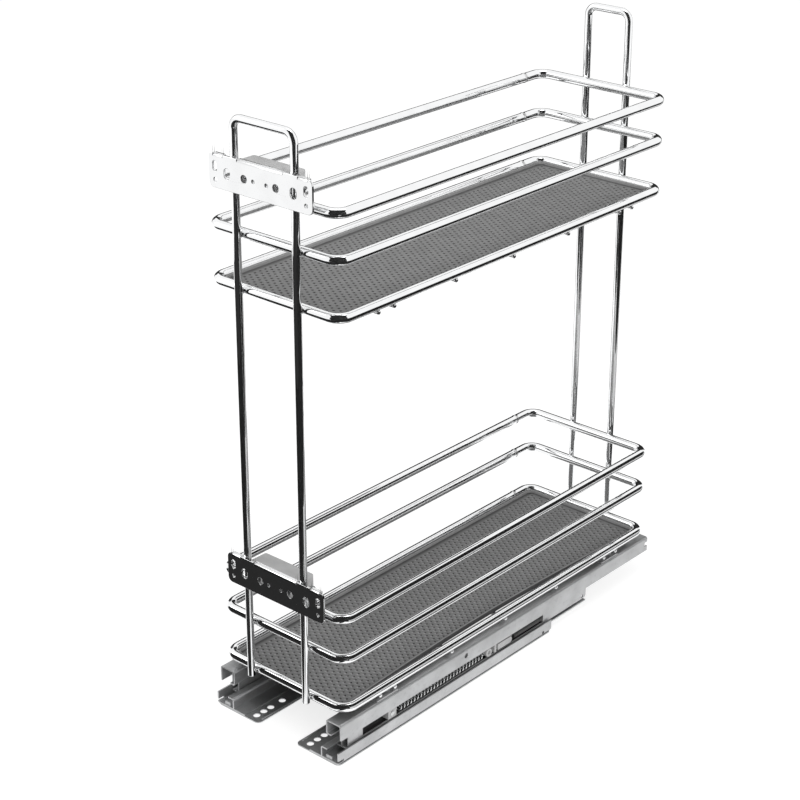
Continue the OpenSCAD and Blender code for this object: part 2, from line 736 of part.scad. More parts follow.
// Round wire swept along a path, with flat ends square to Y
wire_sides = 6;
function path_dir(path, i) = i == 0 || i == len(path) - 1 ? [0, 1, 0]
    : unit(unit(path[i + 1] - path[i]) + unit(path[i] - path[i - 1]));
function wire_ring(path, i, d) =
    let (dir = path_dir(path, i), u = unit(cross([0, 0, 1], dir)), v = cross(dir, u))
    [for (k = [0:wire_sides - 1]) path[i] + d / 2 * (cos(360 * k / wire_sides) * u
        + sin(360 * k / wire_sides) * v)];
module swept_wire(path, d) {
    n = len(path);
    points = [for (i = [0:n - 1]) each wire_ring(path, i, d)];
    walls = [for (i = [0:n - 2], k = [0:wire_sides - 1])
        let (a = i * wire_sides + k, b = i * wire_sides + (k + 1) % wire_sides)
        each [[a, a + wire_sides, b], [b, a + wire_sides, b + wire_sides]]];
    ends = [for (k = [1:wire_sides - 2]) each [[0, k, k + 1],
        [(n - 1) * wire_sides, (n - 1) * wire_sides + k + 1, (n - 1) * wire_sides + k]]];
    polyhedron(points, concat(walls, ends), convexity = 10);
}

module closing_spring(side) on_side(side) color("silver")
    translate([spring_x, spring_y0, mech_z]) swept_wire(spring_path, spring_wire);

// Least gap between the spring's wire and itself, over points at least half a curl apart
spring_gap = min([for (i = [0:len(spring_path) - 1], j = [i + spring_rings / 2:1:min(i + 3 * spring_rings,
    len(spring_path) - 1)]) norm(spring_path[i] - spring_path[j])]) - spring_wire;
echo(spring_gap = spring_gap);

// Sliding catch: a base strip with a hollow post that the spring pulls, a tooth and a bar
module closing_catch(side) on_side(side) color("gray") {
    top = spring_x + catch_reach;
    post_y = catch_y0 + catch_post_r;
    difference() {
        union() {
            translate([mech_seat, post_y, mech_z - catch_h / 2])
                cube([catch_base_t, catch_l - 2 * catch_post_r, catch_h]);
            translate([0, post_y, mech_z]) rod_x(mech_seat, top, 2 * catch_post_r);
            translate([mech_seat, catch_y0 + catch_tooth_y, mech_z - catch_h / 2])
                cube([top - mech_seat, catch_tooth_t, catch_tooth_h]);
            along_x(mech_seat, top) {
                translate([catch_y0 + catch_bar_y, mech_z - catch_bar_h / 2])
                    square([catch_l - catch_bar_y - catch_bar_h / 2, catch_bar_h]);
                translate([catch_y0 + catch_l - catch_bar_h / 2, mech_z]) circle(catch_bar_h / 2);
            }
        }
        translate([0, post_y, mech_z])
            rod_x(mech_seat + catch_base_t, top + 1, 2 * catch_post_hole_r);
    }
}

// Blocks that hold the springs' front ends
module spring_anchors() color("gray") for (side = [-1, 1]) on_side(side) difference() {
    translate([mech_seat, anchor_y0, mech_z - anchor_h / 2])
        cube([anchor_out - mech_seat, anchor_l, anchor_h]);
    translate([0, anchor_y0 + anchor_l / 2, mech_z]) rod_x(mech_seat + 1, anchor_out + 1, pin_d);
}

// Pins riveted into the anchor blocks
module anchor_pins() color("gainsboro") for (side = [-1, 1]) on_side(side)
    translate([0, anchor_y0 + anchor_l / 2, mech_z]) {
        rod_x(mech_seat + 1, anchor_out, pin_d - seat_gap);
        rod_x(anchor_out, anchor_out + pin_head_h, pin_head_d);
    }

damper_x = mech_seat + damper_d / 2;

// Damper cylinders behind the catches
module dampers() color("dimgray") for (side = [-1, 1]) on_side(side)
    translate([damper_x, 0, mech_z]) difference() {
        rod_y(damper_y0, window_y1 - housing_wall, damper_d);
        rod_y(damper_y0 - 1, damper_y0 + rod_reach, damper_bore);
    }

// Piston rods between the dampers and the catches
module damper_rods() color("gainsboro") for (side = [-1, 1]) on_side(side)
    translate([damper_x, 0, mech_z]) rod_y(damper_y0 - damper_stroke, damper_y0 + rod_reach,
        damper_rod_d);

front_hoop();
rear_hoop();
ring_at(upper_z + top_rise);  // upper_top_rail
ring_at(upper_z + middle_rise);  // upper_middle_rail
ring_at(upper_z);  // upper_bottom_rail
ring_at(lower_z + top_rise);  // lower_top_rail
ring_at(lower_z + middle_rise);  // lower_middle_rail
ring_at(lower_z);  // lower_bottom_rail
support_wires(upper_z);  // upper_support_wires
support_wires(lower_z);  // lower_support_wires
mat(upper_z);  // upper_mat
mat(lower_z);  // lower_mat
door_plate(upper_z, 0);  // upper_door_plate
door_plate(lower_z, lower_setting);  // lower_door_plate
clamp_block(upper_z);  // upper_clamp_block
clamp_block(lower_z);  // lower_clamp_block
clamp_screws(upper_z);  // upper_clamp_screws
clamp_screws(lower_z);  // lower_clamp_screws
adjuster_screw(upper_z);  // upper_adjuster_screw
adjuster_screw(lower_z);  // lower_adjuster_screw
plate_slider(upper_z, 0);  // upper_plate_slider
plate_slider(lower_z, lower_setting);  // lower_plate_slider
slider_rivets(upper_z, 0);  // upper_slider_rivets
slider_rivets(lower_z, lower_setting);  // lower_slider_rivets
carrier(carrier_ys[0]);  // front_carrier
carrier(carrier_ys[1]);  // rear_carrier
carrier_rivets();
mounting_plate(-1);  // left_mounting_plate
mounting_plate(1);  // right_mounting_plate
cabinet_rail(-1);  // left_cabinet_rail
cabinet_rail(1);  // right_cabinet_rail
middle_rail(-1);  // left_middle_rail
middle_rail(1);  // right_middle_rail
runner_rail(-1);  // left_runner_rail
runner_rail(1);  // right_runner_rail
lower_balls();
lower_ball_cages();
upper_balls();
upper_ball_cages();
closing_housing(-1);  // left_closing_housing
closing_housing(1);  // right_closing_housing
closing_spring(-1);  // left_closing_spring
closing_spring(1);  // right_closing_spring
closing_catch(-1);  // left_closing_catch
closing_catch(1);  // right_closing_catch
spring_anchors();
anchor_pins();
dampers();
damper_rods();
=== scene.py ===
"""Dressed model of a pull-out larder unit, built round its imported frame.

Sizes are in millimetres in the frame's own axes and become metres when a mesh is made. The setting
is in metres.
"""
import json
import logging
import math
from dataclasses import dataclass, field
from enum import Enum
from typing import Any, Callable, Iterable, Sequence

import bmesh
import bpy
import numpy as np
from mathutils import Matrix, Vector


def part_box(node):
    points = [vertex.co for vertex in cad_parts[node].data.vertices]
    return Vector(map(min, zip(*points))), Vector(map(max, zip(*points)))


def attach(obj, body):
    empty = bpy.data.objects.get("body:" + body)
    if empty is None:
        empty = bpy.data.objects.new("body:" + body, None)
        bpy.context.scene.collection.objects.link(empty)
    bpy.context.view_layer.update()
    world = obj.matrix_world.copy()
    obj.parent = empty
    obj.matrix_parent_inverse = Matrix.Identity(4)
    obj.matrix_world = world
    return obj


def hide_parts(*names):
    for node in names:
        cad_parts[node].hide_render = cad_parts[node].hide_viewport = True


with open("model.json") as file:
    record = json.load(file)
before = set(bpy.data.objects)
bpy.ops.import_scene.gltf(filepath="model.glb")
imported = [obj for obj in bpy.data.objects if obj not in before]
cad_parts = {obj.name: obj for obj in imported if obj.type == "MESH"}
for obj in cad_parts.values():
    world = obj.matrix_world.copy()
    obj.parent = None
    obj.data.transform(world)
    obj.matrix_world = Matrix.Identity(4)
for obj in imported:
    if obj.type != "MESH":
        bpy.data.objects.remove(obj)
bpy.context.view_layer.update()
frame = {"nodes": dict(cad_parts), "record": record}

LOG = logging.getLogger("larder")
MM = 0.001
MERGE = 0.002 * MM
X, Y, Z = np.eye(3)
Profile = Sequence[Sequence[float]]


# Shapes

def unit(v: np.ndarray) -> np.ndarray:
    """Rows of v, each divided by its own length."""
    return v / np.linalg.norm(v, axis=-1, keepdims=True)


def cad_box(node: str) -> tuple[np.ndarray, np.ndarray]:
    """Lowest and highest corner of a CAD node, in millimetres."""
    low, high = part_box(node)
    return np.array(low) / MM, np.array(high) / MM


def inner_x(node: str) -> float:
    """Finds where a node with a like solid on each side starts.

    Args:
        node: Name of the CAD node.

    Returns:
        Least distance of its vertices from the middle plane.
    """
    mesh = frame["nodes"][node].data
    places = np.empty(len(mesh.vertices) * 3, np.float32)
    mesh.vertices.foreach_get("co", places)
    return float(np.abs(places[::3]).min() / MM)


def grid_faces(rows: int, columns: int, close_rows: bool = False) -> list[list[int]]:
    """Quads between neighbours of a grid of points.

    Args:
        rows: Number of rows of points.
        columns: Number of points in a row, whose last joins its first.
        close_rows: Whether the last row joins the first.

    Returns:
        Four point numbers for each quad.
    """
    r, c = np.meshgrid(np.arange(rows if close_rows else rows - 1), np.arange(columns),
                       indexing="ij")
    here, there, c_next = r * columns, (r + 1) % rows * columns, (c + 1) % columns
    quads = np.stack([here + c, here + c_next, there + c_next, there + c], -1)
    return quads.reshape(-1, 4).tolist()


@dataclass
class Surface:
    """Patches of points and faces that become one mesh.

    Attributes:
        points: Arrays of points.
        faces: Faces as lists of point numbers, counted over all patches.
        marks: For each point, from -1 where a highlight is painted to 1 where it is weld metal or
            painted shade.
        slots: For each face, the number of its finish.
    """

    points: list[np.ndarray] = field(default_factory=list)
    faces: list[list[int]] = field(default_factory=list)
    marks: list[np.ndarray] = field(default_factory=list)
    slots: list[np.ndarray] = field(default_factory=list)

    def add(self, points: np.ndarray, faces: Iterable[Sequence[int]], mark: Any = 0.0,
            slot: int = 0) -> None:
        """Adds a patch.

        Args:
            points: The patch's points, as any array whose last axis is X, Y and Z.
            faces: Faces as point numbers within the patch.
            mark: Mark of its points, as a number or an array.
            slot: Number of the finish of its faces.
        """
        start = sum(map(len, self.points))
        points = points.reshape(-1, 3)
        faces = [[start + int(i) for i in face] for face in faces]
        self.points.append(points)
        self.faces.extend(faces)
        self.marks.append(np.broadcast_to(np.asarray(mark, float), len(points)))
        self.slots.append(np.full(len(faces), slot))

    def add_grid(self, points: np.ndarray, close_rows: bool = False, mark: Any = 0.0) -> None:
        """Adds a grid of closed rows, with its first and last row filled.

        Args:
            points: Array of rows, points in a row, and X, Y and Z.
            close_rows: Whether the last row joins the first, which leaves no ends to fill.
            mark: Mark of the points.
        """
        rows, columns = points.shape[:2]
        faces = grid_faces(rows, columns, close_rows)
        if not close_rows:
            faces.append(list(range(columns))[::-1])
            faces.append(list(range((rows - 1) * columns, rows * columns)))
        self.add(points, faces, mark)

    def piece(self, name: str, body: str, *finishes: "Finish", replaces: Sequence[str],
              crease: float = 32.0) -> None:
        """Makes the mesh and its object, with its place in its mesh, riding on a body.

        Args:
            name: Name of the piece.
            body: CAD body that it moves with.
            finishes: Its finishes, in the order of the patches' slots.
            replaces: CAD nodes that it stands for.
            crease: Angle in degrees from which an edge stays sharp.
        """
        mesh = bpy.data.meshes.new(name)
        mesh.from_pydata((np.concatenate(self.points) * MM).tolist(), [], self.faces)
        mesh.polygons.foreach_set("material_index", np.concatenate(self.slots))
        mark = mesh.attributes.new("mark", "FLOAT", "POINT")
        mark.data.foreach_set("value", np.concatenate(self.marks).astype(np.float32))
        work = bmesh.new()
        work.from_mesh(mesh)
        bmesh.ops.remove_doubles(work, verts=work.verts, dist=MERGE)
        bmesh.ops.recalc_face_normals(work, faces=work.faces)
        work.to_mesh(mesh)
        work.free()
        mesh.polygons.foreach_set("use_smooth", np.ones(len(mesh.polygons), bool))
        mesh.set_sharp_from_angle(angle=math.radians(crease))
        for finish in finishes:
            mesh.materials.append(finish.material())
        piece = bpy.data.objects.new(name, mesh)
        bpy.context.scene.collection.objects.link(piece)
        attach(piece, body)
        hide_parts(*replaces)
        LOG.info("%s: %d faces, rides on %s", name, len(mesh.polygons), body)


@dataclass(frozen=True)
class Track:
    """A line in space.

    Attributes:
        points: Its points.
        along: Unit direction of travel at each point.
        side: Unit direction across the travel at each point.
    """

    points: np.ndarray
    along: np.ndarray
    side: np.ndarray

    def tube(self, radius: Any, sides: int) -> np.ndarray:
        """Round section carried along the track.

        Each row is point + radius x (cos a x side + sin a x (along x side)), a over a full turn.

        Args:
            radius: Radius, one for all or one for each point.
            sides: Points round the section.

        Returns:
            Grid of points, a row for each point of the track.
        """
        a = np.linspace(0, 2 * np.pi, sides, endpoint=False)[None, :, None]
        up = np.cross(self.along, self.side)[:, None]
        reach = np.broadcast_to(np.asarray(radius, float), len(self.points))[:, None, None]
        return self.points[:, None] + reach * (np.cos(a) * self.side[:, None] + np.sin(a) * up)

    def with_round_ends(self, radius: float, edge: float) -> tuple["Track", np.ndarray]:
        """The track with its end edges rounded off.

        The rows of a rounding, at four angles a from 0 to 90 degrees, lie edge x (1 - sin a)
        before the end, and their radius is radius - edge x (1 - cos a).

        Args:
            radius: Radius of the tube.
            edge: Radius of the rounding.

        Returns:
            The longer track and the radius at each of its points.
        """
        a = np.linspace(0, np.pi / 2, 4)
        rows = np.ones(len(self.points), int)
        rows[[0, -1]] = len(a)
        points, along, side = (np.repeat(v, rows, axis=0)
                               for v in (self.points, self.along, self.side))
        radii = np.full(len(points), radius)
        shift, rim = edge * (np.sin(a) - 1)[:, None], radius - edge * (1 - np.cos(a))
        first, last = slice(0, len(a)), slice(-len(a), None)
        points[first] -= shift[::-1] * along[0]
        points[last] += shift * along[-1]
        radii[first], radii[last] = rim[::-1], rim
        return Track(points, along, side), radii


def cornered(centres: np.ndarray, starts: Sequence[float], radius: float, u: np.ndarray,
             v: np.ndarray, steps: int) -> Track:
    """Quarter arcs joined by straight runs, in the plane of u and v.

    A point is centre + radius x (cos a x u + sin a x v), with a from start to start + 90 degrees.

    Args:
        centres: Centre of each arc.
        starts: Angle in degrees at which each arc starts.
        radius: Radius of the arcs.
        u: First direction of the plane.
        v: Second direction of the plane.
        steps: Points on each arc.

    Returns:
        The track, whose side direction points out of the bend.
    """
    a = np.radians(starts)[:, None, None] + np.linspace(0, np.pi / 2, steps)[None, :, None]
    out = np.cos(a) * u + np.sin(a) * v
    along = -np.sin(a) * u + np.cos(a) * v
    points = centres[:, None] + radius * out
    return Track(points.reshape(-1, 3), along.reshape(-1, 3), out.reshape(-1, 3))


def lump(surface: Surface, centre: Sequence[float], reach: Sequence[float], mark: float = 1.0,
         rows: int = 7, columns: int = 12) -> None:
    """Adds an egg-shaped bead.

    A point is centre + reach x (cos a x cos b, sin a x cos b, sin b), with b from -84 to 84
    degrees, and the poles are filled.

    Args:
        surface: Surface that gets the bead.
        centre: Its middle.
        reach: Half its size along X, Y and Z.
        mark: Mark of its points.
        rows: Rows from pole to pole.
        columns: Points in a row.
    """
    b = np.radians(np.linspace(-84, 84, rows))[:, None]
    a = np.linspace(0, 2 * np.pi, columns, endpoint=False)[None]
    ball = np.stack([np.cos(a) * np.cos(b), np.sin(a) * np.cos(b), np.sin(b) + 0 * a], -1)
    surface.add_grid(np.asarray(centre) + ball * np.asarray(reach), mark=mark)


def dome(at: float, radius: float, height: float) -> np.ndarray:
    """Profile of a dome that closes to its pole.

    Its six rows, at angles a from 0 to 88 degrees, lie at + height x sin a, with radius x cos a.

    Args:
        at: Distance along the axis at which the dome starts.
        radius: Its radius there.
        height: Its height.

    Returns:
        Rows of distance along the axis and radius.
    """
    a = np.radians(np.linspace(0, 88, 6))
    return np.column_stack([at + height * np.sin(a), radius * np.cos(a)])


def turned(surface: Surface, start: Sequence[float], along: np.ndarray, side: np.ndarray,
           profile: Profile, sides: int = 24) -> None:
    """Adds a turned form.

    Each row of the profile is a ring: start + distance x along, with its radius round it.

    Args:
        surface: Surface that gets the form.
        start: Point of the axis from which the distances count.
        along: Direction of the axis.
        side: Direction square to the axis.
        profile: Rows of distance along the axis and radius.
        sides: Points round the form.
    """
    rows = np.asarray(profile, float)
    ones = np.ones((len(rows), 1))
    track = Track(np.asarray(start) + rows[:, :1] * along, ones * along, ones * side)
    surface.add_grid(track.tube(rows[:, 1], sides))


# Materials

class Term:
    """An output in a node graph; expressions on it add the nodes that work them out."""

    def __init__(self, graph: "Graph", output: bpy.types.NodeSocket) -> None:
        """Keeps the graph and the output that the term stands for."""
        self.graph = graph
        self.output = output

    def _with(self, operation: str, left: Any, right: Any) -> "Term":
        """Adds the node for an operation, by the kind of this term.

        Args:
            operation: Name of the operation, as the Math node has it.
            left: Left side, a term or a number.
            right: Right side, a term or a number.

        Returns:
            The result.
        """
        if self.output.type == "RGBA":
            settings = {"data_type": "RGBA", "blend_type": operation}
            return self.graph.add("ShaderNodeMix", settings, {0: 1.0, 6: left, 7: right}, 2)
        kind = "ShaderNodeVectorMath" if self.output.type == "VECTOR" else "ShaderNodeMath"
        return self.graph.add(kind, {"operation": operation}, {0: left, 1: right})

    def __add__(self, other: Any) -> "Term":
        """Sum."""
        return self._with("ADD", self, other)

    def __radd__(self, other: Any) -> "Term":
        """Sum, with the term on the right."""
        return self._with("ADD", other, self)

    def __mul__(self, other: Any) -> "Term":
        """Product."""
        return self._with("MULTIPLY", self, other)

    def __rmul__(self, other: Any) -> "Term":
        """Product, with the term on the right."""
        return self._with("MULTIPLY", other, self)


class Graph:
    """The node graph of a material or of the world."""

    def __init__(self, owner: bpy.types.Material | bpy.types.World, result: str) -> None:
        """Empties a graph and adds its last node.

        Args:
            owner: Material or world that has the graph.
            result: Type of the last node.
        """
        owner.use_nodes = True
        self.nodes, self.links = owner.node_tree.nodes, owner.node_tree.links
        self.nodes.clear()
        self.result = self.nodes.new(result).inputs[0]

    def feed(self, socket: bpy.types.NodeSocket, value: Any) -> None:
        """Gives an input its value.

        Args:
            socket: The input.
            value: Term that is linked to it, or a plain value.
        """
        if isinstance(value, Term):
            self.links.new(value.output, socket)
        else:
            socket.default_value = value

    def add(self, kind: str, settings: dict[str, Any] | None = None,
            values: dict[Any, Any] | None = None, output: Any = 0) -> Term:
        """Adds any node.

        Args:
            kind: The node's type.
            settings: Its settings, which are set first.
            values: Values or terms for its inputs, by number or name.
            output: Number or name of the output that is returned.

        Returns:
            The output as a term.
        """
        node = self.nodes.new(kind)
        for key, value in (settings or {}).items():
            setattr(node, key, value)
        for key, value in (values or {}).items():
            self.feed(node.inputs[key], value)
        return Term(self, node.outputs[output])

    def white_sight(self) -> Term:
        """Adds the nodes that tell which rays see the surroundings white.

        Returns:
            1 for camera, glossy and transmission rays and 0 for others.
        """
        seen = self.add("ShaderNodeLightPath", output="Is Camera Ray")
        path = seen.output.node.outputs
        for name in ("Is Glossy Ray", "Is Transmission Ray"):
            seen = self.add("ShaderNodeMath", {"operation": "MAXIMUM"},
                            {0: seen, 1: Term(self, path[name])})
        return seen


class Coat(Graph):
    """The node graph of one material, around a Principled shader."""

    def __init__(self, name: str) -> None:
        """Makes the material, its shader and its object coordinates.

        Args:
            name: Name of the material.
        """
        self.material = bpy.data.materials.new(name)
        super().__init__(self.material, "ShaderNodeOutputMaterial")
        self.shader = self.add("ShaderNodeBsdfPrincipled")
        self.feed(self.result, self.shader)
        self.place = self.add("ShaderNodeTexCoord", output="Object")

    def shade(self, **values: Any) -> None:
        """Gives inputs of the shader their values.

        Args:
            values: Values or terms by the inputs' names, with underscores for spaces.
        """
        for key, value in values.items():
            name = key.replace("_", " ").title().replace("Ior", "IOR")
            self.feed(self.shader.output.node.inputs[name], value)

    def stretched(self, scale: Sequence[float]) -> Term:
        """Object coordinates scaled along each axis."""
        return self.add("ShaderNodeMapping", values={"Vector": self.place, "Scale": scale})

    def noise(self, scale: float, detail: float = 2.0, where: Term | None = None) -> Term:
        """Soft noise from 0 to 1, at so many features to a metre."""
        return self.add("ShaderNodeTexNoise",
                        values={"Vector": where or self.place, "Scale": scale, "Detail": detail})

    def mark(self) -> Term:
        """Mark of the surface, from -1 to 1."""
        return self.add("ShaderNodeAttribute", {"attribute_name": "mark"}, output="Fac")

    def ramp(self, value: Term, low: float, high: float) -> Term:
        """Value spread so that low becomes 0 and high becomes 1, clamped."""
        return self.add("ShaderNodeMapRange", values={0: value, 1: low, 2: high})

    def mix(self, share: Any, first: Any, second: Any) -> Term:
        """Colour from first to second as share goes from 0 to 1."""
        return self.add("ShaderNodeMix", {"data_type": "RGBA"}, {0: share, 6: first, 7: second}, 2)

    def bump(self, height: Term, depth: float) -> Term:
        """Normal for a relief of that depth in metres."""
        return self.add("ShaderNodeBump",
                        values={"Height": height, "Strength": 1.0, "Distance": depth})


def grey(value: float, tint: float = 0.0) -> tuple[float, float, float, float]:
    """Grey with a little less red and more blue for a positive tint."""
    return (value * (1 - tint), value, value * (1 + tint), 1.0)


@dataclass(frozen=True)
class Finish:
    """A finish of the unit.

    Attributes:
        name: Name of its material.
        slot: Material slot of the record that it belongs to.
    """

    name: str
    slot: str

    def material(self) -> bpy.types.Material:
        """Makes the finish's material at its first use.

        Returns:
            The material.
        """
        made = bpy.data.materials.get(self.name)
        if made is None:
            coat = Coat(self.name)
            self.paint(coat)
            made = coat.material
        return made

    def paint(self, coat: Coat) -> None:
        """Builds the finish in a material's graph."""
        raise NotImplementedError


@dataclass(frozen=True)
class Chrome(Finish):
    """Bright chromium over drawn wire, duller and pitted on weld metal.

    Attributes:
        tone: Reflectance of the plating.
        gloss: Roughness of clean plating.
        ripple: Depth in metres of the waves left by drawing and bending.
    """

    tone: float = 0.95
    gloss: float = 0.03
    ripple: float = 0.00004

    def paint(self, coat: Coat) -> None:
        """Noise gives haze and ripples; the mark of weld metal adds pits and a darker tone.

        Args:
            coat: Graph of the material.
        """
        weld = coat.mark()
        haze = coat.ramp(coat.noise(55.0, 4.0), 0.42, 0.72)
        pits = coat.noise(1400.0, 3.0)
        tone = coat.mix(haze, grey(self.tone, 0.006), grey(self.tone * 0.95, 0.006))
        relief = coat.noise(90.0, 1.0) + weld * pits * 2.5
        coat.shade(base_color=coat.mix(weld, tone, grey(self.tone * 0.6)), metallic=1.0,
                   roughness=haze * 0.04 + weld * 0.16 + self.gloss,
                   normal=coat.bump(relief, self.ripple))


@dataclass(frozen=True)
class PlatedSheet(Finish):
    """Zinc-plated steel sheet with fine rolling lines along Y and cloudy patches.

    Attributes:
        light: Tone of the brightest patches.
        dark: Tone of the darkest patches.
        gloss: Mean roughness.
        grain: Depth of the rolling lines in metres.
        lines: Scale of the rolling lines along X, Y and Z.
        metal: Metallic share; the rest is the dull bloom of the zinc.
    """

    light: float = 0.58
    dark: float = 0.47
    gloss: float = 0.36
    grain: float = 0.00002
    lines: tuple[float, float, float] = (900.0, 14.0, 900.0)
    metal: float = 0.76

    def paint(self, coat: Coat) -> None:
        """Stretched noise gives the lines; two softer noises give clouds and dull spots.

        Args:
            coat: Graph of the material.
        """
        lines = coat.noise(1.0, 3.0, coat.stretched(self.lines))
        clouds = coat.ramp(coat.noise(38.0, 5.0), 0.35, 0.68)
        spots = coat.ramp(coat.noise(260.0, 2.0), 0.56, 0.74)
        tone = coat.mix(clouds, grey(self.dark, 0.01), grey(self.light, 0.01))
        tone = coat.mix(spots * 0.35, tone, grey(self.dark * 0.8, 0.01))
        tone = coat.mix(lines * 0.30, tone, grey(self.light * 0.86, 0.01))
        coat.shade(base_color=tone, metallic=self.metal,
                   roughness=lines * 0.14 + clouds * -0.06 + (self.gloss - 0.04) + spots * 0.1,
                   normal=coat.bump(lines, self.grain))


@dataclass(frozen=True)
class Moulded(Finish):
    """Moulded plastic or cast metal with a fine eroded texture.

    Attributes:
        tone: Grey of the body.
        gloss: Mean roughness.
        metal: Metallic share.
        grain: Features of the texture to a metre.
        depth: Depth of the texture in metres.
    """

    tone: float = 0.2
    gloss: float = 0.5
    metal: float = 0.0
    grain: float = 2600.0
    depth: float = 0.00003

    def paint(self, coat: Coat) -> None:
        """Noises give texture and uneven tone; marks paint shade, and a highlight where negative.

        Args:
            coat: Graph of the material.
        """
        fine = coat.noise(self.grain, 2.0)
        broad = coat.noise(70.0, 3.0)
        tone = coat.mix(coat.ramp(broad, 0.35, 0.7), grey(self.tone), grey(self.tone * 0.86))
        tone = coat.mix(coat.ramp(fine, 0.5, 0.75) * 0.5, tone, grey(self.tone * 1.25))
        # The marks paint shade where positive and a highlight where negative.
        tone = coat.mix(coat.mark() * 0.85, tone, grey(self.tone * 0.12))
        tone = coat.mix(coat.ramp(coat.mark(), 0.0, -1.0), tone, grey(self.tone * 2.1))
        coat.shade(base_color=tone, metallic=self.metal,
                   roughness=broad * 0.12 + fine * 0.1 + (self.gloss - 0.11),
                   normal=coat.bump(fine, self.depth))


CHROME = Chrome("chromed_wire", "chrome_wire")
PLATE_CHROME = Chrome("chromed_plate", "chrome_plate", tone=0.84, gloss=0.06, ripple=0.00003)
RAIL_SHEET = PlatedSheet("plated_rail_sheet", "rail_steel")
SCREW_STEEL = PlatedSheet("plated_screw_steel", "screw_steel", light=0.7, dark=0.58, gloss=0.26,
                          lines=(500.0, 500.0, 500.0), metal=0.92)
BALL_STEEL = Chrome("polished_ball_steel", "ball_steel", tone=0.7, gloss=0.08)
BLOCK_GREY = Moulded("cast_grey_block", "block_grey", tone=0.47, gloss=0.46)
MAT_GREY = Moulded("moulded_grey_mat", "mat_grey", tone=0.20, gloss=0.56, grain=1800.0)
# The rim is a lighter copy of the mat's grey: a painted highlight along its top.
PAINTED_LIGHT_MAT_RIM = Moulded("painted_light_mat_rim", "mat_grey", tone=0.30, gloss=0.5, grain=1800.0)
DARK_PLASTIC = Moulded("dark_slide_plastic", "dark_plastic", tone=0.035, gloss=0.42)
GREY_PLASTIC = Moulded("grey_slide_plastic", "grey_plastic", tone=0.45, gloss=0.45)
SPRING_STEEL = Chrome("drawn_spring_steel", "spring_steel", tone=0.8, gloss=0.22)
NODE_FINISHES = (CHROME, PLATE_CHROME, RAIL_SHEET, SCREW_STEEL, BALL_STEEL, BLOCK_GREY, MAT_GREY,
                 DARK_PLASTIC, GREY_PLASTIC, SPRING_STEEL)


# Baskets and hoops

class Level(Enum):
    """The two levels of baskets, door plates and ball tracks."""

    UPPER = "upper"
    LOWER = "lower"


class End(Enum):
    """The two ends of the unit, with the way along Y that leads to its middle."""

    FRONT = 1
    REAR = -1


class Ring(Enum):
    """The three rings of a basket."""

    TOP = "top"
    MIDDLE = "middle"
    BOTTOM = "bottom"


# Rows to each side of a ring's butt weld, and half the size of the beads along X, Y and Z
WELD_ROWS = np.array([0, 0.6, 1.2, 1.8, 2.6, 4.0])
CROSS_WELD = (1.6, 2.5, 1.1)
HOOP_WELD = (2.3, 0.9, 1.9)


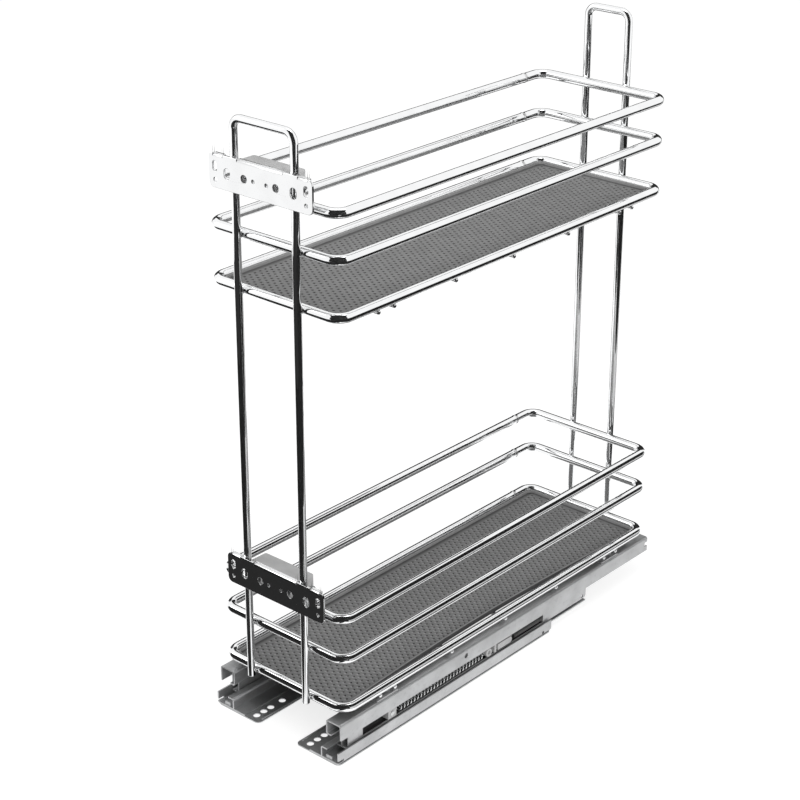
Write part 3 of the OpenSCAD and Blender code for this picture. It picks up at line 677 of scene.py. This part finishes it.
@dataclass(frozen=True)
class Basket:
    """Three chromed rings, seven cross wires and a dimpled mat.

    Attributes:
        level: Which basket it is.
        corner: Corner radius of the rings on the wire's middle line.
        arc_steps: Points on each corner.
        sides: Points round the ring wire.
        weld_place: Distance of a ring's butt weld from its rear left corner.
        weld_swell: How far the weld stands out.
        weld_width: Distance over which it fades.
        pair: Distance of the two cross wires of a pair.
        inner_wires: Cross wires between the first and the last.
        wire_end: Rounding of a cross wire's end.
        wire_sides: Points round a cross wire.
        weld_sink: How far the middle of its weld lies under its top.
    """

    level: Level
    corner: float = 12.0
    arc_steps: int = 17
    sides: int = 40
    weld_place: float = 16.0
    weld_swell: float = 0.32
    weld_width: float = 1.5
    pair: float = 19.5
    inner_wires: int = 5
    wire_end: float = 1.2
    wire_sides: int = 20
    weld_sink: float = 0.1

    def ring(self, which: Ring) -> None:
        """Replaces one ring with a smooth tube that swells slightly at its butt weld.

        At a distance s from the weld the wire stands out by swell x exp(-(s / width) squared).

        Args:
            which: The ring.
        """
        node = f"{self.level.value}_{which.value}_rail"
        low, high = cad_box(node)
        radius = (high[2] - low[2]) / 2
        x = (high[0] - low[0]) / 2 - radius - self.corner
        y0, y1 = low[1] + radius + self.corner, high[1] - radius - self.corner
        z = (low[2] + high[2]) / 2
        centres = np.array([[x, y1, z], [-x, y1, z], [-x, y0, z], [x, y0, z]])
        track = cornered(centres, (0, 90, 180, 270), self.corner, X, Y, self.arc_steps)
        at = 2 * self.arc_steps
        off = np.concatenate([-WELD_ROWS[:0:-1], WELD_ROWS])
        swell = self.weld_swell * np.exp(-(off / self.weld_width) ** 2)
        spots = track.points[at - 1] - (off + self.weld_place)[:, None] * Y
        points, along, side, radii, mark = (
            np.insert(values, [at] * len(off), added, axis=0)
            for values, added in ((track.points, spots), (track.along, -Y), (track.side, -X),
                                  (np.full(len(track.points), radius), radius + swell),
                                  (np.zeros(len(track.points)), swell / swell.max())))
        surface = Surface()
        surface.add_grid(Track(points, along, side).tube(radii, self.sides), close_rows=True,
                         mark=np.repeat(mark, self.sides))
        surface.piece(f"{node}_wire", "basket_frame", CHROME, replaces=[node])

    def cross_wires(self) -> None:
        """Replaces the cross wires with round-ended rods and the welds that hold them."""
        node = f"{self.level.value}_support_wires"
        low, high = cad_box(node)
        ring_low, ring_high = cad_box(f"{self.level.value}_bottom_rail")
        radius, z = (high[2] - low[2]) / 2, (high[2] + low[2]) / 2
        weld_x = ring_high[0] - (ring_high[2] - ring_low[2]) / 2
        y0, y1 = low[1] + radius, high[1] - radius
        surface = Surface()
        for y in (y0, *np.linspace(y0 + self.pair, y1 - self.pair, self.inner_wires), y1):
            ends = np.array([[low[0], y, z], [high[0], y, z]])
            rod, radii = Track(ends, np.array([X, X]), np.array([Y, Y])).with_round_ends(
                radius, self.wire_end)
            surface.add_grid(rod.tube(radii, self.wire_sides))
            for x in (-weld_x, weld_x):
                lump(surface, [x, y, z + radius - self.weld_sink], CROSS_WELD)
        surface.piece(f"{self.level.value}_cross_wires", "basket_frame", CHROME, replaces=[node])

    def build(self) -> None:
        """Builds the rings, the cross wires and the mat."""
        for which in Ring:
            self.ring(which)
        self.cross_wires()
        MATS[self.level].build()


@dataclass(frozen=True)
class DimpledMat:
    """Tray-shaped mat whose floor is covered with small round pits.

    Attributes:
        level: Basket that it lies in.
        row_pitch: Distance of the rows of pits along X.
        pit_pitch: Distance of the pits in a row, along Y.
        pit_radius: Radius of a pit's mouth.
        pit_soft: Depth of the soft edge round a pit.
        pit_depth: Depth of a pit.
        pit_neck: Width of a pit under its soft edge, as a share of its mouth's.
        pit_foot: Width of a pit at its bottom, as a share of its mouth's.
        bow: How far the middle of the right edge leans inwards.
        bow_reach: Share of the depth at which the lean ends.
        painted_glint: Strength of the painted highlight on the front lip of each pit, 0 to 1.
        lip_painted_shade: Strength of the painted shade on the rest of its mouth, 0 to 1.
        shade: Strength of the painted shade inside a pit, 0 to 1.
        foot_painted_shade: Strength of the painted shade in the fillet at the foot of the rim, 0 to
            1.
        floor: Thickness of the mat's floor.
        rim: Thickness of its rim.
        plain: Least width of the plain strip inside the rim.
        foot: Radius of the fillet at the foot of the rim.
        soft: Rounding of the rim's edges.
        worn: How far the rim's top lies under the CAD solid's.
        corner: Radius of its outer corners.
        corner_steps: Points on a corner.
    """

    level: Level
    row_pitch: float = 5.0
    pit_pitch: float = 6.25
    pit_radius: float = 1.35
    pit_soft: float = 0.35
    pit_depth: float = 1.5
    pit_neck: float = 0.8
    pit_foot: float = 0.66
    bow: float = 0.0
    bow_reach: float = 0.92
    painted_glint: float = 0.0
    lip_painted_shade: float = 0.15
    shade: float = 1.0
    foot_painted_shade: float = 0.75
    floor: float = 2.0
    rim: float = 1.6
    plain: float = 1.6
    foot: float = 0.9
    soft: float = 0.5
    worn: float = 1.2
    corner: float = 7.2
    corner_steps: int = 9

    def pits(self, surface: Surface, rows: int, count: int, middle: np.ndarray) -> None:
        """Adds the pitted field: cells in rows, every other row shifted by half a pitch.

        A cell has six points on its edge and three rings of twelve round the pit: its mouth, its
        neck under the soft edge, and its foot.

        Args:
            surface: Surface that gets the field.
            rows: Number of rows.
            count: Pits in an even row; an odd row has one less and half a plain cell at each end.
            middle: Middle of the field, on the mat's floor.
        """
        half_x, half_y = self.row_pitch / 2, self.pit_pitch / 2
        outer, sides = 6, 12
        k, j = np.arange(outer), np.arange(sides)
        edge = np.array([[1, 0, 0], [1, 1, 0], [-1, 1, 0], [-1, 0, 0], [-1, -1, 0], [1, -1, 0]])
        a = np.linspace(0, 2 * np.pi, sides, endpoint=False)
        mouth = np.column_stack([np.cos(a), np.sin(a), 0 * a]) * self.pit_radius
        cell = np.concatenate([edge * [half_x, half_y, 0], mouth,
                               mouth * self.pit_neck - self.pit_soft * Z,
                               mouth * self.pit_foot - self.pit_depth * Z])
        k_next, j_next = (k + 1) % outer, (j + 1) % sides
        even, between, after = outer + 2 * k, outer + 2 * k + 1, outer + 2 * k_next
        fans = np.concatenate([np.column_stack(corners) for corners in (
            (k, between, even), (k, k_next, between), (k_next, after, between))])
        band = outer + np.column_stack([j, j_next, sides + j_next, sides + j])
        row, n = np.meshgrid(np.arange(rows), np.arange(count), indexing="ij")
        odd = row % 2
        x = (row - (rows - 1) / 2) * self.row_pitch
        y = (n - (count - 1) / 2 + odd * 0.5) * self.pit_pitch
        places = np.stack([x, y, 0 * x], -1)[(odd == 0) | (n < count - 1)] + middle
        start = (np.arange(len(places)) * len(cell))[:, None, None]
        faces = [*(start + fans).reshape(-1, 3).tolist(),
                 *(start + np.concatenate([band, band + sides])).reshape(-1, 4).tolist(),
                 *(start[:, 0] + outer + 2 * sides + j[::-1]).tolist()]
        # Painted light: the mouth's front point gets a painted highlight and the rest of the mouth
        # a little painted shade; the neck gets a little less painted shade than the foot.
        lip = np.full(sides, self.lip_painted_shade)
        lip[3 * sides // 4] = -self.painted_glint
        inside = np.repeat([0.9, 1.0], sides) * self.shade
        marks = np.concatenate([np.zeros(outer), lip, inside])
        surface.add(places[:, None] + cell, faces, np.tile(marks, len(places)))
        odd_x = x[1::2, :1]
        for end in (-1, 1):
            y0, y1 = end * count * half_y, end * (count - 1) * half_y
            blank = np.array([[half_x, y0, 0], [half_x, y1, 0], [-half_x, y1, 0],
                              [-half_x, y0, 0]])
            surface.add((odd_x * X)[:, None] + blank + middle,
                        np.arange(len(odd_x) * 4).reshape(-1, 4))

    def loop(self, right: np.ndarray, top: np.ndarray, corner: np.ndarray) -> np.ndarray:
        """Closed outline that is alike under a half turn.

        Args:
            right: Y of its points on the right side, upwards.
            top: X of its points on the top side, from right to left.
            corner: Points of its upper right corner, anticlockwise.

        Returns:
            Points anticlockwise, the right side first.
        """
        half = np.concatenate([np.column_stack([np.full(len(right), corner[0, 0]), right]), corner,
                               np.column_stack([top, np.full(len(top), corner[-1, 1])]),
                               corner[::-1] * [-1, 1]])
        return np.concatenate([half, -half])

    def build(self) -> None:
        """Builds the mat as one closed surface and replaces the CAD node.

        The pitted field ends in a rectangle, and rounded outlines with as many points follow: up
        the fillet, over the rim, down its outer wall and round its lower edge. Each of these four
        stretches is a quarter circle of four outlines.
        """
        node = f"{self.level.value}_mat"
        low, high = cad_box(node)
        half, centre = (high - low)[:2] / 2, (high + low)[:2] / 2
        room = 2 * (half - self.rim - self.plain)
        rows, count = int(room[0] // self.row_pitch), int(room[1] // self.pit_pitch)
        rows -= 1 - rows % 2
        edge = np.array([rows * self.row_pitch, count * self.pit_pitch]) / 2
        bottom, top = low[2] + self.floor, high[2] - self.worn
        surface = Surface()
        self.pits(surface, rows, count, np.array([*centre, bottom]))

        turn = np.radians([0, 30, 60, 90])
        near, far = 1 - np.cos(turn), 1 - np.sin(turn)
        profile = np.concatenate([np.column_stack(quarter) for quarter in (
            (-self.rim - self.foot * near[::-1], bottom + self.foot * far[::-1]),
            (-self.rim + self.soft * near, top - self.soft * far),
            (-self.soft * far, top - self.soft * near),
            (-self.soft * near, low[2] + self.soft * far))])
        y = np.linspace(-edge[1], edge[1], 2 * count + 1)[1:-1]
        x = np.linspace(-edge[0], edge[0], rows + 1)[-2:0:-1]
        a = np.linspace(0, np.pi / 2, self.corner_steps)
        arc = np.column_stack([np.cos(a), np.sin(a)])
        inner = half - self.corner
        flat_y, flat_x = np.clip(y, -inner[1], inner[1]), np.clip(x, -inner[0], inner[0])
        lines = [self.loop(y, x, np.tile(edge, (self.corner_steps, 1)))]
        lines += [self.loop(flat_y, flat_x, inner + arc * (self.corner + grown))
                  for grown in profile[:, 0]]
        grid = np.stack([np.column_stack([line + centre, np.full(len(line), z)])
                         for line, z in zip(lines, (bottom, *profile[:, 1]))])

        n, joint, last = grid.shape[1], len(turn), len(grid) - 1
        # Painted shade in the fillet at the foot of the rim.
        fillet = np.array([0, 1, 1, 1, 0]) * self.foot_painted_shade
        surface.add(grid[:joint + 1], grid_faces(joint + 1, n), np.repeat(fillet, n))
        faces = grid_faces(last - joint + 1, n)
        faces.append(list(range((last - joint) * n, (last - joint + 1) * n)))
        # Painted shade on the rim's outer wall and lower edge: the dark band between the mat and
        # the wire.
        wall = np.arange(joint, last + 1) >= last - len(turn)
        surface.add(grid[joint:], faces, np.repeat(wall, n), slot=1)
        surface.points = [self.leaned(points, low, high) for points in surface.points]
        surface.piece(f"{self.level.value}_dimpled_mat", "basket_frame", MAT_GREY, PAINTED_LIGHT_MAT_RIM,
                      replaces=[node], crease=40.0)

    def leaned(self, points: np.ndarray, low: np.ndarray, high: np.ndarray) -> np.ndarray:
        """Points with the right edge bowed inwards.

        A point moves by bow x sin(pi x share of the depth) x (share of the width) squared, where
        the width counts from the middle line to the right edge.

        Args:
            points: Points of the mat.
            low: Lowest corner of the mat.
            high: Highest corner of the mat.

        Returns:
            The moved points.
        """
        across = np.clip(points[:, 0] / high[0], 0, 1) ** 2
        deep = np.clip((points[:, 1] - low[1]) / (high[1] - low[1]) / self.bow_reach, 0, 1)
        return points - self.bow * (across * np.sin(np.pi * deep))[:, None] * X


MATS = {
    Level.UPPER: DimpledMat(Level.UPPER, bow=0.6),
    Level.LOWER: DimpledMat(Level.LOWER, bow=7.5, pit_radius=1.2, painted_glint=0.8, shade=0.8),
}


@dataclass(frozen=True)
class Hoop:
    """Upright hoop of chromed wire, welded to the rings.

    Attributes:
        end: End of the unit at which it stands.
        bend: Bend radius on the wire's middle line.
        arc_steps: Points on each bend.
        sides: Points round the wire.
        foot_edge: Rounding of a leg's end.
        bead: How far over and under a ring's middle its weld beads lie.
    """

    end: End
    bend: float = 9.0
    arc_steps: int = 15
    sides: int = 36
    foot_edge: float = 0.7
    bead: float = 1.5

    def build(self) -> None:
        """Builds the wire, from the right leg's foot over the bar to the left leg's foot."""
        name = self.end.name.lower()
        low, high = cad_box(f"{name}_hoop")
        radius = (high[1] - low[1]) / 2
        x, y = high[0] - radius - self.bend, (low[1] + high[1]) / 2
        z = high[2] - radius - self.bend
        arcs = cornered(np.array([[x, y, z], [-x, y, z]]), (0, 90), self.bend, X, Z,
                        self.arc_steps)
        leg = x + self.bend
        points = np.concatenate([[[leg, y, low[2]]], arcs.points, [[-leg, y, low[2]]]])
        along = np.concatenate([[Z], arcs.along, [-Z]])
        side = np.concatenate([[X], arcs.side, [-X]])
        track, radii = Track(points, along, side).with_round_ends(radius, self.foot_edge)
        surface = Surface()
        surface.add_grid(track.tube(radii, self.sides))
        for ring in (f"{level.value}_{which.value}_rail" for level in Level for which in Ring):
            ring_z = sum(corner[2] for corner in cad_box(ring)) / 2
            for across in (-leg, leg):
                for over in (-self.bead, self.bead):
                    lump(surface, [across, y + self.end.value * radius, ring_z + over], HOOP_WELD)
        surface.piece(f"{name}_hoop_wire", "basket_frame", CHROME, replaces=[f"{name}_hoop"])


# Slides

class Side(Enum):
    """The two slides, with the sign of their X."""

    LEFT = -1
    RIGHT = 1


@dataclass(frozen=True)
class ClosingMechanism:
    """Springs, anchor pins, dampers and their rods, in the windows of the middle rails.

    Attributes:
        wire: Thickness of the spring wire.
        curls: Curls of a spring.
        curl_steps: Points on a curl.
        wire_sides: Points round the wire.
        lead: Length of each straight end, in thicknesses of the wire.
        bore: Radius of a damper's bore.
        shank: Radius of an anchor pin.
        head: Height of an anchor pin's head.
    """

    wire: float = 1.2
    curls: int = 27
    curl_steps: int = 24
    wire_sides: int = 10
    lead: float = 1.5
    bore: float = 1.2
    shank: float = 1.95
    head: float = 0.8

    def spring(self, side: Side) -> None:
        """Winds a spring between its anchor and its catch.

        A point at turn t is axis + r x (cos 2 pi t, sin 2 pi t) and lies at lead + pitch x t,
        where r grows with the root of t over the first curl and shrinks so over the last one.

        Args:
            side: Slide that it belongs to.
        """
        name = side.name.lower()
        low, high = cad_box(f"{name}_closing_spring")
        middle = (low + high) / 2
        reach = (high[2] - low[2] - self.wire) / 2
        length, lead = high[1] - low[1], self.lead * self.wire
        turn = np.linspace(0, self.curls, self.curls * self.curl_steps + 1)
        r = reach * np.sqrt(np.minimum(1, np.minimum(turn, self.curls - turn)))
        a = 2 * np.pi * turn
        out = np.column_stack([side.value * np.cos(a), 0 * a, np.sin(a)])
        axis = np.column_stack([0 * a, lead + (length - 2 * lead) * turn / self.curls, 0 * a])
        points = np.concatenate([[0 * Y], axis + r[:, None] * out, [length * Y]])
        out = np.concatenate([out[:1], out, out[-1:]])
        along = unit(np.gradient(points, axis=0))
        along[[0, -1]] = Y
        across = unit(out - np.sum(out * along, axis=1, keepdims=True) * along)
        points = points + np.array([middle[0], low[1], middle[2]])
        surface = Surface()
        surface.add_grid(Track(points, along, across).tube(self.wire / 2, self.wire_sides))
        surface.piece(f"{name}_wound_spring", "middle_rails", SPRING_STEEL,
                      replaces=[f"{name}_closing_spring"], crease=60.0)

    def pins(self) -> None:
        """Turns the anchor pins, with a domed head and a soft edge."""
        low, high = cad_box("anchor_pins")
        start, head = inner_x("anchor_pins"), (high[2] - low[2]) / 2
        y, z = (low[1:] + high[1:]) / 2
        neck = high[0] - start - self.head
        profile = [[0, self.shank - 0.25], [0.25, self.shank], [neck, self.shank],
                   [neck, head - 0.15], [neck + 0.15, head], [neck + 0.3, head],
                   *dome(neck + 0.3, head - 0.1, 0.5)]
        surface = Surface()
        for side in Side:
            turned(surface, [side.value * start, y, z], side.value * X, Z, profile)
        surface.piece("turned_anchor_pins", "middle_rails", SCREW_STEEL, replaces=["anchor_pins"])

    def along_slides(self, node: str, name: str, finish: Finish,
                     profile: Callable[[float, float], Profile], sides: int) -> None:
        """Turns a form along Y on each side in place of a CAD node.

        Args:
            node: CAD node of the two solids.
            name: Name of the piece.
            finish: Its finish.
            profile: Gives the profile for the form's radius and length.
            sides: Points round the form.
        """
        low, high = cad_box(node)
        x, z = (inner_x(node) + high[0]) / 2, (low[2] + high[2]) / 2
        rows = profile((high[2] - low[2]) / 2, high[1] - low[1])
        surface = Surface()
        for side in Side:
            turned(surface, [side.value * x, low[1], z], Y, Z, rows, sides)
        surface.piece(name, "middle_rails", finish, replaces=[node])

    def damper(self, r: float, end: float) -> Profile:
        """Profile of a damper: bore, rolled front lip, groove, groove of the end cap, back.

        Args:
            r: Its radius.
            end: Its length.

        Returns:
            Rows of distance along the axis and radius.
        """
        return [[5.5, 0.01], [5.5, self.bore], [0.5, self.bore], [0, self.bore + 0.4], [0, r - 1.2],
                [0.3, r - 0.5], [0.9, r - 0.1], [1.5, r], [3.2, r], [3.4, r - 0.35],
                [4.3, r - 0.35], [4.5, r], [end - 6, r], [end - 5.8, r - 0.3],
                [end - 5.2, r - 0.3], [end - 5, r], [end - 0.4, r], [end, r - 0.4]]

    def rod(self, r: float, end: float) -> Profile:
        """Profile of a piston rod of that radius and length, with both ends chamfered."""
        return [[0, r - 0.2], [0.2, r], [end - 0.2, r], [end, r - 0.2]]

    def build(self) -> None:
        """Builds the springs, pins, dampers and rods."""
        for side in Side:
            self.spring(side)
        self.pins()
        self.along_slides("dampers", "turned_dampers", DARK_PLASTIC, self.damper, sides=32)
        self.along_slides("damper_rods", "polished_damper_rods", BALL_STEEL, self.rod, sides=20)


@dataclass(frozen=True)
class Fasteners:
    """Rivets of the carriers and of the door plates' sliders.

    Attributes:
        head: Radius of a carrier rivet's head.
        head_height: Its height.
        shank: Radius of a carrier rivet's shank.
        half: Half the spacing of two carrier rivets along Y.
    """

    head: float = 3.7
    head_height: float = 1.1
    shank: float = 2.1
    half: float = 6.0

    def carrier_rivets(self) -> None:
        """Turns the eight carrier rivets, with domed heads."""
        low, high = cad_box("carrier_rivets")
        x, neck = high[0] - self.head, high[2] - low[2] - self.head_height
        profile = [[0, self.shank - 0.2], [0.2, self.shank], [neck, self.shank],
                   [neck, self.head - 0.1], [neck + 0.2, self.head],
                   *dome(neck + 0.3, self.head - 0.1, 0.8)]
        surface = Surface()
        for carrier in ("front_carrier", "rear_carrier"):
            y = sum(corner[1] for corner in cad_box(carrier)) / 2
            for across in (-x, x):
                for step in (-self.half, self.half):
                    turned(surface, [across, y + step, low[2]], Z, X, profile)
        surface.piece("domed_carrier_rivets", "basket_frame", SCREW_STEEL,
                      replaces=["carrier_rivets"])

    def slider_rivets(self, level: Level) -> None:
        """Turns the pair of rivets of a door plate, with a dished front end.

        Args:
            level: Door plate that they belong to.
        """
        node = f"{level.value}_slider_rivets"
        low, high = cad_box(node)
        r, end = (high[2] - low[2]) / 2, high[1] - low[1]
        profile = [[0.55, 0.01], [0.5, 0.6], [0.05, r - 0.55], [0, r - 0.3], [0.12, r - 0.05],
                   [0.3, r], [end - 0.2, r], [end, r - 0.2]]
        surface = Surface()
        for x in (low[0] + r, high[0] - r):
            turned(surface, [x, low[1], (high[2] + low[2]) / 2], Y, Z, profile)
        surface.piece(f"{level.value}_dished_rivets", f"{level.value}_plate", SCREW_STEEL,
                      replaces=[node])

    def build(self) -> None:
        """Builds all rivets."""
        self.carrier_rivets()
        for level in Level:
            self.slider_rivets(level)


@dataclass(frozen=True)
class BallRows:
    """Polished balls of the slides.

    Attributes:
        level: Ball tracks that they run in.
        count: Balls in a row.
    """

    level: Level
    count: int

    def build(self) -> None:
        """Builds two rows of balls on each side as finely divided spheres."""
        name = self.level.value
        low, high = cad_box(f"{name}_balls")
        r, z = (high[2] - low[2]) / 2, (low[2] + high[2]) / 2
        surface = Surface()
        for x in (inner_x(f"{name}_balls") + r, high[0] - r):
            for side in Side:
                for y in np.linspace(low[1] + r, high[1] - r, self.count):
                    lump(surface, [side.value * x, y, z], [r, r, r], mark=0.0, rows=13,
                         columns=24)
        surface.piece(f"{name}_polished_balls", f"{name}_ball_cage", BALL_STEEL,
                      replaces=[f"{name}_balls"])


# Carried CAD nodes

@dataclass(frozen=True)
class BrokenEdges:
    """Edges that a press or a mould leaves a little round.

    Attributes:
        width: Width of the rounding.
        steps: Faces across the rounding.
        sharp: Angle in degrees from which an edge is rounded.
        flat: Angle in degrees up to which neighbouring triangles are one face.
    """

    width: float
    steps: int = 2
    sharp: float = 38.0
    flat: float = 0.4

    def add_to(self, node: bpy.types.Object) -> None:
        """Adds modifiers that join a node's triangles into faces and round their edges.

        Args:
            node: Object of the CAD node.
        """
        weld = node.modifiers.new("joined", "WELD")
        weld.merge_threshold = MERGE
        plain = node.modifiers.new("plain_faces", "DECIMATE")
        plain.decimate_type = "DISSOLVE"
        plain.angle_limit = math.radians(self.flat)
        edge = node.modifiers.new("broken_edges", "BEVEL")
        edge.width = self.width * MM
        edge.segments = self.steps
        edge.limit_method = "ANGLE"
        edge.angle_limit = math.radians(self.sharp)
        edge.use_clamp_overlap = False
        edge.harden_normals = True
        edge.miter_outer = "MITER_ARC"


PRESSED = BrokenEdges(0.22)
SPECIAL_EDGES = {"door_plate": BrokenEdges(0.36, 3), "clamp_block": BrokenEdges(0.45)}


def dress_nodes() -> None:
    """Gives every CAD node the finish of its material slot, and each shown one broken edges."""
    by_slot = {finish.slot: finish for finish in NODE_FINISHES}
    slots = {row["node"]: row["material_slot"] for row in frame["record"]["subparts"]}
    for name, node in frame["nodes"].items():
        material = by_slot[slots[name]].material()
        for place in node.material_slots:
            place.material = material
        if not node.material_slots:
            node.data.materials.append(material)
        if not node.hide_render:
            SPECIAL_EDGES.get(name.partition("_")[2], PRESSED).add_to(node)


# Setting

@dataclass(frozen=True)
class PhotoCamera:
    """The photograph's viewpoint.

    Attributes:
        place: Position in millimetres.
        azimuth: Direction round the unit in degrees, 0 looking along +Y.
        elevation: Height of the viewpoint over the horizon in degrees.
        focal: Focal length in pixels of the frame.
        centre: Pixel that the lens axis meets.
        frame: Width and height of the frame in pixels.
    """

    place: tuple[float, float, float] = (1074.385, -1281.5, 1007.526)
    azimuth: float = 41.503
    elevation: float = 22.892
    focal: float = 1963.335
    centre: tuple[float, float] = (400.0, 350.0)
    frame: float = 800.0

    def build(self) -> None:
        """Makes the camera and sets it as the scene's."""
        data = bpy.data.cameras.new("photo_camera")
        data.sensor_width = 36.0
        data.lens = self.focal * data.sensor_width / self.frame
        data.shift_x = 0.5 - self.centre[0] / self.frame
        data.shift_y = self.centre[1] / self.frame - 0.5
        data.clip_start, data.clip_end = 0.05, 60.0
        camera = bpy.data.objects.new("photo_camera", data)
        camera.location = Vector(self.place) * MM
        camera.rotation_euler = (math.radians(90 - self.elevation), 0, math.radians(self.azimuth))
        bpy.context.scene.collection.objects.link(camera)
        bpy.context.scene.camera = camera


def sheet(name: str, corners: Sequence[Sequence[float]], coat: Coat) -> bpy.types.Object:
    """One flat face for the setting.

    Args:
        name: Name of the object.
        corners: Its corners, in order.
        coat: Graph of its material.

    Returns:
        The object.
    """
    mesh = bpy.data.meshes.new(name)
    mesh.from_pydata(corners, [], [range(len(corners))])
    mesh.materials.append(coat.material)
    made = bpy.data.objects.new(name, mesh)
    bpy.context.scene.collection.objects.link(made)
    return made


def lying(height: float, *spots: tuple[float, float]) -> list[tuple[float, float, float]]:
    """Corners of a card that lies at a height, from their X and Y."""
    return [(x, y, height) for x, y in spots]


def standing(*posts: tuple[float, float, float, float]) -> list[tuple[float, float, float]]:
    """Corners of an upright card, from the X, Y, foot and top of its two upright edges."""
    (x0, y0, foot0, top0), (x1, y1, foot1, top1) = posts
    return [(x0, y0, foot0), (x1, y1, foot1), (x1, y1, top1), (x0, y0, top0)]


@dataclass(frozen=True)
class Card:
    """A card beside the set, there only for what the chrome reflects.

    Attributes:
        name: Name of the card.
        corners: Its corners, in order.
        tone: Its grey.
        by_basket: Whether it keeps its place beside the baskets when they are pulled out.
    """

    name: str
    corners: Sequence[tuple[float, float, float]]
    tone: float = 0.025
    by_basket: bool = False

    def build(self) -> None:
        """Hangs the card, which only glossy rays meet."""
        coat = Coat(f"{self.name}_board")
        coat.shade(base_color=grey(self.tone), roughness=0.9, specular_ior_level=0.0)
        card = sheet(self.name, self.corners, coat)
        for kind in ("camera", "diffuse", "transmission", "volume_scatter", "shadow"):
            setattr(card, f"visible_{kind}", False)
        if self.by_basket:
            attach(card, "basket_frame")


PALE = 0.8
CARDS = (
    Card("side_card", standing((0.24, -0.25, 0.10, 0.42), (0.24, 1.3, 0.12, 0.40)),
         by_basket=True),
    Card("corner_card", standing((0.16, -0.40, 0.08, 0.38), (0.24, -0.25, 0.10, 0.42)),
         by_basket=True),
    Card("front_card", standing((-0.60, -0.40, 0.04, 0.26), (0.16, -0.40, 0.04, 0.26)),
         by_basket=True),
    Card("skirt_card", standing((0.24, -0.25, 0.003, 0.10), (0.24, 1.3, 0.003, 0.12)), PALE),
    Card("flange_card", lying(0.004, (-0.060, -0.215), (0.02, -0.225), (0.02, 0.24),
                              (-0.060, 0.24))),
    Card("rear_light", lying(0.006, (0.55, -0.45), (0.75, -0.35), (1.0, -0.80), (0.80, -0.95)),
         PALE),
    Card("table_card", lying(0.003, (0.125, 1.7), (0.135, -0.05), (0.26, -0.34), (0.06, -0.256),
                             (0.12, -0.35), (0.0, -0.262), (-0.75, -0.262), (-1.15, -0.50),
                             (-0.75, -1.15), (-0.2, -1.7), (0.6, -2.3), (1.7, -1.9), (2.2, -0.9),
                             (1.9, 0.6), (1.5, 1.7))),
    Card("near_card", standing((-0.2, -2.32, 0.0, 2.2), (2.32, -0.08, 0.0, 2.2))),
    Card("canopy_card", lying(2.2, (-0.2, -2.32), (2.32, -0.08), (0.9, 0.35), (-0.7, -0.95))),
    Card("far_card", standing((-2.0, 0.35, 0.0, 1.1), (-0.1, 2.05, 0.0, 1.1))),
    Card("rear_card", lying(0.003, (-0.39, 0.33), (-0.04, 0.63), (-0.17, 1.82), (-1.2, 1.6),
                            (-1.7, 0.62))),
)


@dataclass(frozen=True)
class SoftLamp:
    """A square soft lamp that points at the middle of the unit.

    Attributes:
        name: Name of the lamp.
        place: Where it hangs.
        size: Its width.
        power: Its power in watts.
        aim: Height of the point that it is turned to, on the unit's middle line.
    """

    name: str
    place: tuple[float, float, float]
    size: float
    power: float
    aim: float = 0.28

    def build(self) -> None:
        """Hangs the lamp."""
        data = bpy.data.lights.new(self.name, "AREA")
        data.size = self.size
        data.energy = self.power
        lamp = bpy.data.objects.new(self.name, data)
        lamp.location = self.place
        way = Vector((0, 0, self.aim)) - Vector(self.place)
        lamp.rotation_euler = way.to_track_quat("-Z", "Y").to_euler()
        bpy.context.scene.collection.objects.link(lamp)


LAMPS = (
    SoftLamp("overhead_lamp", (0.3, -0.4, 2.6), 1.8, 24.0),
    SoftLamp("left_lamp", (-2.0, -1.4, 1.5), 1.2, 10.0),
    SoftLamp("right_lamp", (1.9, -0.9, 0.9), 1.0, 16.0),
)


@dataclass(frozen=True)
class Studio:
    """Pale floor, white surroundings, soft lamps, and cards for the chrome.

    Attributes:
        floor_half: Half the floor's width.
        floor_drop: How far the floor lies under the unit.
        surround: Light that the surroundings give to the unit.
        lift: Share of plain white in the floor as the camera and gloss see it.
        white: Strength of that white.
    """

    floor_half: float = 6.0
    floor_drop: float = 0.0003
    surround: float = 0.62
    lift: float = 0.65
    white: float = 1.22

    def floor(self) -> None:
        """Lays the floor, which shows white to camera and gloss and keeps the unit's shadow."""
        coat = Coat("pale_floor")
        tone = coat.mix(coat.noise(3.0, 2.0), grey(0.9), grey(0.93))
        coat.shade(base_color=tone, roughness=0.9, specular_ior_level=0.0)
        white = coat.add("ShaderNodeEmission", values={"Color": grey(1.0), "Strength": self.white})
        share = coat.white_sight() * self.lift
        both = coat.add("ShaderNodeMixShader", values={0: share, 1: coat.shader, 2: white})
        coat.feed(coat.result, both)
        s = self.floor_half
        floor = sheet("studio_floor", lying(0.0, (-s, -s), (s, -s), (s, s), (-s, s)), coat)
        floor.location = (0, 0, -self.floor_drop)

    def world(self) -> None:
        """White to the camera, to gloss and through glass, softer as light on the unit."""
        world = bpy.data.worlds.new("white_surroundings")
        bpy.context.scene.world = world
        graph = Graph(world, "ShaderNodeOutputWorld")
        level = graph.add("ShaderNodeMapRange",
                          values={0: graph.white_sight(), 3: self.surround, 4: 1.0})
        graph.feed(graph.result,
                   graph.add("ShaderNodeBackground", values={0: grey(1.0), 1: level}))

    def build(self) -> None:
        """Lays the floor, sets the surroundings and hangs the cards and lamps."""
        self.floor()
        self.world()
        for hung in (*CARDS, *LAMPS):
            hung.build()
        bpy.context.scene.view_settings.view_transform = "Standard"


def main() -> None:
    """Builds the setting and every piece of the unit in order."""
    logging.basicConfig(level=logging.INFO, format="%(name)s: %(message)s")
    PhotoCamera().build()
    Studio().build()
    for level in Level:
        Basket(level).build()
    for end in End:
        Hoop(end).build()
    ClosingMechanism().build()
    Fasteners().build()
    BallRows(Level.LOWER, count=7).build()
    BallRows(Level.UPPER, count=10).build()
    dress_nodes()


if __name__ == "__main__":
    main()
